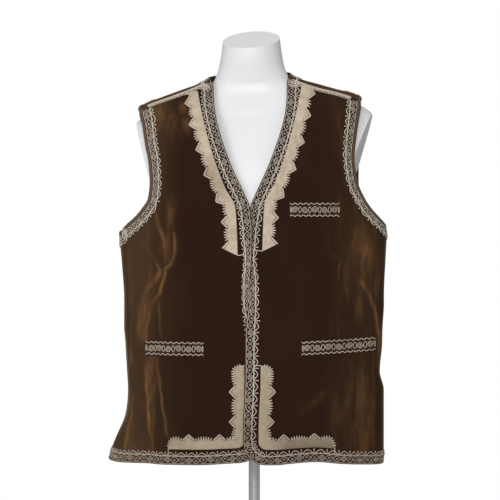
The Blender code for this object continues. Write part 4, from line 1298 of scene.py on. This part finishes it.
def edge_stitches(name, rows_of, panel, cream, dark):
    """The leather's edge: teeth round the scallops, and knots and eyelets round the points."""
    inner, outer, pointed = rows_of(panel, rise)
    courses, eyelets = [], []
    changes = np.flatnonzero(np.diff(pointed.astype(int))) + 1
    parts = (np.split(rows, changes) for rows in (outer, inner, pointed))
    for line, behind, on_one in zip(*parts):
        if len(line) < 3:
            continue
        pitch = KNOT_PITCH if on_one[0] else TOOTH_PITCH
        places, away, gone = stations(line, behind, pitch)
        if on_one[0]:
            courses.append(knotted(line, gone))
            eyelets += [eyelet(*both) for both in zip(places, away)]
        else:
            courses += [tooth(*both) for both in zip(places, away)]
    courses.append(course(inner[:, 0], inner[:, 1], THIN, INNER_CORD_LIFT))
    courses += [course(*zip(*ends), CORD) for ends in joining_cords(rows_of, panel, inner)]
    flat = Flat(panel)
    return [
        tubes(f"stitches_{name}", flat, courses, cream),
        tubes(f"eyelets_{name}", flat, eyelets, dark),
    ]


def welt_piece(panel, replaced, start, height, length, raised, velvet, cream):
    """A pocket's welt and the cords on it."""
    name = replaced.replace("pocket_", "")
    surface = Slanted(panel, start, height, raised / length)
    along = length * np.linspace(0, 1, 90)[:, None]
    upward = WELT_HEIGHT * np.linspace(-0.5, 0.5, 22)[None, :]
    low, normal = surface.points(along, upward, WELT_GAP)
    piece = wall(name, low + WELT * normal, low, [velvet], replaced=replaced, slot="velvet")
    paint(piece, "crush_and_sheen", np.full(len(piece.data.vertices), WELT_GOLDEN))
    start, end = WELT_END, length - WELT_END
    along = np.linspace(start, end, 240)
    wave = WELT_EDGE + WELT_SWING * np.cos(2 * math.pi * along / WELT_WAVE)
    courses = [course(along, side * wave, WELT_CORD) for side in (1, -1)]
    courses += scrolls(start, end, 0.0, *WELT_SCROLLS, eyes=1, curled=False)
    return piece, tubes(f"cords_{name}", surface, courses, cream, WELT + WELT_GAP)


def form_ring(height, turns):
    """Points of the dress form's ring at a height."""
    side, front_depth, back_depth, squareness = (smooth(height, FORM_RINGS, c) for c in range(1, 5))
    depth = np.where(np.cos(turns) > 0, front_depth, back_depth)
    r = radius(turns, side, depth, squareness)
    x, y = r * np.sin(turns), -r * np.cos(turns)
    z = height + SHOULDER_LEAN * x * ramp(height, *LEAN_HEIGHTS)
    x = x + GARMENT_X + FORM_X + NECK_LEAN * ramp(height, *NECK_LEAN_HEIGHTS)
    return np.stack([x, y, z], axis=-1)


def on_plane(place, point, normal):
    """Whether a place is on a cutting plane."""
    return abs((place - mathutils.Vector(point)).dot(mathutils.Vector(normal).normalized())) < 1e-5


def cut(mesh, point, normal):
    """Cuts off what lies beyond a plane, closes the cut and rounds its edge."""
    geometry = mesh.verts[:] + mesh.edges[:] + mesh.faces[:]
    made = bmesh.ops.bisect_plane(
        mesh, geom=geometry, dist=1e-6, plane_co=point, plane_no=normal, clear_outer=True
    )
    edges = [e for e in made["geom_cut"] if isinstance(e, bmesh.types.BMEdge)]
    bmesh.ops.contextual_create(mesh, geom=edges)
    on_cut = [v for v in mesh.verts if on_plane(v.co, point, normal)]
    bmesh.ops.remove_doubles(mesh, verts=on_cut, dist=2e-4)
    edges = [e for e in mesh.edges if all(on_plane(v.co, point, normal) for v in e.verts)]
    bmesh.ops.bevel(
        mesh, geom=edges, offset=FORM_BEVEL, segments=3, affect="EDGES", clamp_overlap=True
    )


def form_shell(plastic):
    """The limbless dress form, cut flat at the neck and where the arms would be."""
    mesh = bmesh.new()
    turns = np.linspace(0, 2 * math.pi, FORM_SIDES, endpoint=False)
    heights = np.concatenate([np.linspace(*part) for part in FORM_HEIGHTS])
    rings = [[mesh.verts.new(point) for point in form_ring(h, turns)] for h in heights]
    for low, high in zip(rings, rings[1:]):
        for here in range(FORM_SIDES):
            after = (here + 1) % FORM_SIDES
            mesh.faces.new([low[here], low[after], high[after], high[here]])
    mesh.faces.new(rings[0][::-1])
    mesh.faces.new(rings[-1])
    cut(mesh, CAP_CENTRE, CAP_NORMAL)
    for side in (1, -1):
        normal = mathutils.Vector((side * math.cos(ARM_CUT_TILT), 0, -math.sin(ARM_CUT_TILT)))
        normal.rotate(mathutils.Euler((0, 0, ARM_CUT_TURN)))
        cut(mesh, (side * ARM_CUT_OUT + GARMENT_X + FORM_X, 0, ARM_CUT_HEIGHT), normal)
    bmesh.ops.recalc_face_normals(mesh, faces=mesh.faces)
    data = bpy.data.meshes.new("form_shell")
    mesh.to_mesh(data)
    mesh.free()
    data.transform(mathutils.Matrix.Rotation(FORM_TURN, 4, "Z"))
    data.materials.append(plastic)
    data.shade_smooth()
    data.set_sharp_from_angle(angle=FORM_SHARP)
    on_root(bpy.data.objects.new("form_shell", data), replaced="form_torso", slot="form")


class Nodes:
    """A material's nodes, made one after another."""

    def __init__(self, name):
        self.made = bpy.data.materials.new(name)
        self.made.use_nodes = True
        self.tree = self.made.node_tree
        self.shader = self.tree.nodes["Principled BSDF"]

    def add(self, kind, settings=(), **inputs):
        """A node of a kind, with its settings and its inputs, which are numbers or other nodes."""
        node = self.tree.nodes.new(kind)
        for name, value in dict(settings).items():
            setattr(node, name, value)
        for name, value in inputs.items():
            self.put(node, name.replace("_", " "), value)
        return node

    def put(self, node, socket, value):
        """Sets an input, or joins it to the first output of another node."""
        found = node.inputs[socket]
        if isinstance(value, bpy.types.Node):
            value = value.outputs[0]
        if isinstance(value, bpy.types.NodeSocket):
            self.tree.links.new(value, found)
        else:
            found.default_value = value

    def sum(self, operation, *values):
        """The result of a Math node."""
        node = self.add("ShaderNodeMath", [("operation", operation)])
        for place, value in enumerate(values):
            self.put(node, place, value)
        return node

    def where(self):
        """The object's own coordinates."""
        return self.add("ShaderNodeTexCoord").outputs["Object"]

    def axis(self, number):
        """One of the object's own coordinates: x is 0 and z is 2."""
        return self.add("ShaderNodeSeparateXYZ", Vector=self.where()).outputs[number]

    def noise(self, scale, stretch=(1, 1, 1), detail=3.0, roughness=0.5):
        """Noise in the object's own coordinates."""
        mapped = self.add("ShaderNodeMapping", Vector=self.where(), Scale=stretch)
        return self.add(
            "ShaderNodeTexNoise", Vector=mapped, Scale=scale, Detail=detail, Roughness=roughness
        )

    def between(self, share, low, high, start=0.0, end=1.0):
        """A share spread between two limits, from a start to an end."""
        node = self.add("ShaderNodeMapRange", [("interpolation_type", "SMOOTHSTEP")], Value=share)
        limits = {"From Min": low, "From Max": high, "To Min": start, "To Max": end}
        for socket, value in limits.items():
            self.put(node, socket, value)
        return node

    def below(self, low, high, most):
        """A share that grows from 0 above one height to the most below another."""
        return self.between(self.axis(2), low, high, most, 0.0)

    def mix(self, share, one, other):
        """A colour between two others."""
        node = self.add("ShaderNodeMix", [("data_type", "RGBA")])
        self.put(node, 0, share)
        for place, colour in ((6, one), (7, other)):
            self.put(node, place, (*colour, 1.0) if isinstance(colour, tuple) else colour.outputs[2])
        return node

    def bump(self, height, distance, strength=1.0, under=None):
        """A Bump node on the shader's normal."""
        node = self.add("ShaderNodeBump", Height=height, Distance=distance, Strength=strength)
        if under is not None:
            self.put(node, "Normal", under)
        self.put(self.shader, "Normal", node)
        return node

    def colour(self, mixed):
        """Joins a Mix node to the base colour."""
        self.put(self.shader, "Base Color", mixed.outputs[2])

    def surface(self, **values):
        """Sets constants on the shader's own sockets."""
        for name, value in values.items():
            self.put(self.shader, name.replace("_", " "), value)


def velvet_material(name, dark, middle, golden):
    """Cotton velvet: dark straight on, golden where the pile is crushed, with painted sheen there
    and at the sides.
    """
    n = Nodes(name)
    crush_and_sheen = n.add("ShaderNodeAttribute", [("attribute_name", "crush_and_sheen")])
    away = n.sum("ABSOLUTE", n.sum("ADD", n.axis(0), -GARMENT_X))
    # Painted sheen: the velvet is lighter and streaked towards the sides, where it turns away.
    side_sheen = n.between(away, 0.115, 0.215)
    streaks = n.noise(14.0, (2.4, 2.4, 0.35), detail=5.0, roughness=0.62)
    wear_and_sheen = n.sum("MULTIPLY", side_sheen, n.between(streaks, 0.44, 0.74))
    clouds = n.between(n.noise(7.0, (1, 1, 0.5)), 0.30, 0.70)
    clouded = n.sum("MULTIPLY", side_sheen, n.sum("MULTIPLY_ADD", clouds, 0.5, 0.5))
    # Painted shade: the side colour is weaker on the wearer's left, away from the key light.
    painted_shade_left = n.sum("MULTIPLY_ADD", n.between(n.axis(0), 0.0, 0.10), -0.5, 1.0)
    faint = n.sum("MULTIPLY", n.between(n.noise(11.0, (1, 1, 0.6), detail=4.0), 0.50, 0.80), 0.16)
    clouded = n.sum("MAXIMUM", n.sum("MULTIPLY", clouded, painted_shade_left), faint)
    # Golden where the pile is crushed, partly as painted sheen where the creases catch the light.
    gold = n.sum("MAXIMUM", crush_and_sheen.outputs["Fac"], n.sum("MULTIPLY", wear_and_sheen, 0.42))
    threads = n.between(n.noise(85.0, (1, 1, 0.24), detail=5.0, roughness=0.6), 0.34, 0.62)
    broken = n.sum("MULTIPLY", gold, n.sum("MULTIPLY_ADD", threads, 0.72, 0.28))
    n.colour(n.mix(broken, n.mix(clouded, dark, middle), golden))
    n.surface(Roughness=0.9, Sheen_Weight=0.20, Sheen_Roughness=0.26)
    n.surface(Sheen_Tint=(0.82, 0.58, 0.36, 1.0), Specular_IOR_Level=0.03)
    coarse = n.bump(n.noise(90.0, (1, 1, 0.4)), 0.0006, 0.35)
    n.bump(n.noise(1400.0, detail=2.0), 0.0003, 0.5, under=coarse)
    return n.made


def lining_material():
    """Dark brown cotton inside, with a fine weave."""
    n = Nodes("lining_cotton")
    ribs = n.add("ShaderNodeTexWave", [("bands_direction", "Z")], Vector=n.where(), Scale=350.0)
    n.colour(n.mix(n.noise(30.0), (0.030, 0.021, 0.018), (0.050, 0.036, 0.030)))
    n.surface(Roughness=0.75)
    n.bump(ribs, 0.0002, 0.4)
    return n.made


def leather_material():
    """Cream suede: mottled, with brown handling marks, and painted shade towards the hem and its
    left.
    """
    n = Nodes("cream_suede")
    grain = n.between(n.noise(85.0, detail=6.0, roughness=0.65), 0.32, 0.70)
    base = n.mix(grain, (0.440, 0.360, 0.270), (0.590, 0.495, 0.385))
    marked = n.mix(n.between(n.noise(12.0, detail=5.0), 0.52, 0.82), base, (0.300, 0.225, 0.145))
    # Painted shade: darker towards the hem, and more on its wearer's left.
    shade_to_hem = n.mix(n.below(0.34, 0.62, 0.60), marked, (0.265, 0.205, 0.135))
    shaded = n.sum("MULTIPLY", n.below(0.300, 0.340, 0.75), n.between(n.axis(0), 0.02, 0.07))
    n.colour(n.mix(shaded, shade_to_hem, (0.145, 0.108, 0.070)))
    n.surface(Roughness=0.85, Specular_IOR_Level=0.1)
    n.bump(n.noise(600.0, detail=4.0), 0.0004, 0.55)
    return n.made


def cord_material():
    """Cream cotton cord with a twist, and painted shade along the hem."""
    n = Nodes("cream_cord")
    mark = n.add("ShaderNodeAttribute", [("attribute_name", "cord")])
    parts = n.add("ShaderNodeSeparateXYZ", Vector=mark.outputs["Vector"])
    angle = n.sum("ARCTAN2", parts.outputs[2], parts.outputs[1])
    phase = n.sum("MULTIPLY_ADD", parts.outputs[0], 3000.0, n.sum("MULTIPLY", angle, 2.0))
    groove = n.between(n.sum("SINE", phase), -1.0, 0.2)
    plain = n.mix(groove, (0.32, 0.265, 0.20), (0.72, 0.645, 0.555))
    wear_and_sheen = n.mix(n.between(n.noise(25.0), 0.50, 0.85), plain, (0.40, 0.33, 0.25))
    # Painted shade: darker along the hem.
    n.colour(n.mix(n.below(0.30, 0.40, 0.45), wear_and_sheen, (0.240, 0.185, 0.130)))
    n.surface(Roughness=0.75, Specular_IOR_Level=0.15)
    n.bump(groove, 0.0003, 0.8)
    return n.made


def thread_material():
    """Dark brown thread round the eyelets."""
    n = Nodes("dark_thread")
    n.colour(n.mix(n.noise(300.0), (0.045, 0.030, 0.020), (0.090, 0.062, 0.042)))
    n.surface(Roughness=0.8, Specular_IOR_Level=0.1)
    return n.made


def plastic_material():
    """White plastic with a soft gloss."""
    n = Nodes("white_plastic_shell")
    n.colour(n.mix(n.noise(4.0), (0.79, 0.79, 0.81), (0.83, 0.83, 0.845)))
    n.surface(Roughness=0.42, Coat_Weight=0.07, Coat_Roughness=0.30)
    n.bump(n.noise(45.0, detail=2.0), 0.0005, 0.12)
    return n.made


def metal_material():
    """Brushed steel, a little scratched."""
    n = Nodes("brushed_steel")
    rubbed = n.noise(60.0, (1, 1, 9), detail=4.0)
    n.colour(n.mix(rubbed, (0.52, 0.52, 0.53), (0.72, 0.72, 0.74)))
    n.put(n.shader, "Roughness", n.sum("MULTIPLY_ADD", rubbed, 0.2, 0.22))
    n.surface(Metallic=1.0)
    n.bump(n.noise(400.0, (1, 1, 12)), 0.0002, 0.2)
    return n.made


def floor_material():
    """A plain pale floor."""
    n = Nodes("pale_floor")
    n.colour(n.mix(n.noise(3.0), (0.86, 0.86, 0.86), (0.90, 0.90, 0.90)))
    n.surface(Roughness=0.9)
    return n.made


def floor():
    """A round floor."""
    mesh = bmesh.new()
    bmesh.ops.create_circle(mesh, cap_ends=True, segments=96, radius=FLOOR_RADIUS)
    data = bpy.data.meshes.new("floor")
    mesh.to_mesh(data)
    mesh.free()
    data.materials.append(floor_material())
    made = bpy.data.objects.new("floor", data)
    made.location = (0, 0, -FLOOR_DROP)
    bpy.context.scene.collection.objects.link(made)


def lights():
    """The lights, which all aim at one point."""
    for name, (place, size, power) in LIGHTS.items():
        lamp = bpy.data.lights.new(name, "AREA")
        lamp.energy, lamp.size = power, size
        made = bpy.data.objects.new(name, lamp)
        made.location = place
        aim = mathutils.Vector(AIM) - mathutils.Vector(place)
        made.rotation_euler = aim.to_track_quat("-Z", "Y").to_euler()
        bpy.context.scene.collection.objects.link(made)


def camera():
    """The camera, level and straight in front."""
    lens = bpy.data.cameras.new("camera")
    made = bpy.data.objects.new("camera", lens)
    made.location = (GARMENT_X, -CAMERA_AWAY, CAMERA_HEIGHT)
    made.rotation_euler = (math.radians(90), 0, 0)
    lens.sensor_width = SENSOR
    lens.lens = SENSOR * CAMERA_AWAY / (IMAGE_SIDE * METRES_A_PIXEL)
    bpy.context.scene.collection.objects.link(made)
    bpy.context.scene.camera = made


def world():
    """A white surround: pure white behind the object, a little softer as light."""
    made = bpy.data.worlds.new("white_surround")
    made.use_nodes = True
    nodes, links = made.node_tree.nodes, made.node_tree.links
    back = nodes["Background"]
    path = nodes.new("ShaderNodeLightPath")
    level = nodes.new("ShaderNodeMapRange")
    level.inputs["To Min"].default_value = WORLD_LIGHT
    level.inputs["To Max"].default_value = 1.0
    links.new(path.outputs["Is Camera Ray"], level.inputs["Value"])
    links.new(level.outputs[0], back.inputs["Strength"])
    back.inputs["Color"].default_value = (1.0, 1.0, 1.0, 1.0)
    bpy.context.scene.world = made
    bpy.context.scene.view_settings.view_transform = "Standard"


def main():
    """The whole scene."""
    velvet = velvet_material("brown_velvet", *VELVET)
    tape = velvet_material("binding_velvet", *BINDING)
    cloths = [velvet, lining_material()]
    leather, cream, dark = leather_material(), cord_material(), thread_material()
    floor()
    lights()
    world()
    camera()
    panels = {}
    for panel in SIGN:
        grid = lowered(shortened(front_grid(panel), -1))
        name = f"front_{panel}"
        panels[panel] = panel_piece(f"velvet_{name}", grid, panel, cloths, name)
    grid = lowered(shortened(shortened(back_grid(), 0), -1))
    panels["back"] = panel_piece("velvet_back", grid, "", cloths, "back")
    on = {panel: [] for panel in panels}
    for panel in SIGN:
        for place, rows_of in (("neck", neck_strap), ("hem", hem_corner)):
            name, replaced = f"leather_{place}_{panel}", f"{place}_applique_{panel}"
            on[panel].append(leather_piece(name, rows_of, panel, leather, replaced))
            on[panel] += edge_stitches(f"{place}_{panel}", rows_of, panel, cream, dark)
        on[panel].append(armhole_border(panel, False, cream))
        on["back"].append(armhole_border(panel, True, cream))
        on[panel] += [shoulder_border(panel, cream), binding(panel, tape)]
    for panel in SIGN:
        on[panel].append(front_border(panel, cream))
    on["back"] += back_borders(cream)
    for panel, replaced, *numbers in WELTS:
        on[panel] += welt_piece(panel, replaced, *numbers, velvet, cream)
    form_shell(plastic_material())
    steel = metal_material()
    for name, node in frame["nodes"].items():
        if name.startswith("stand_"):
            node.data.materials.clear()
            node.data.materials.append(steel)


main()
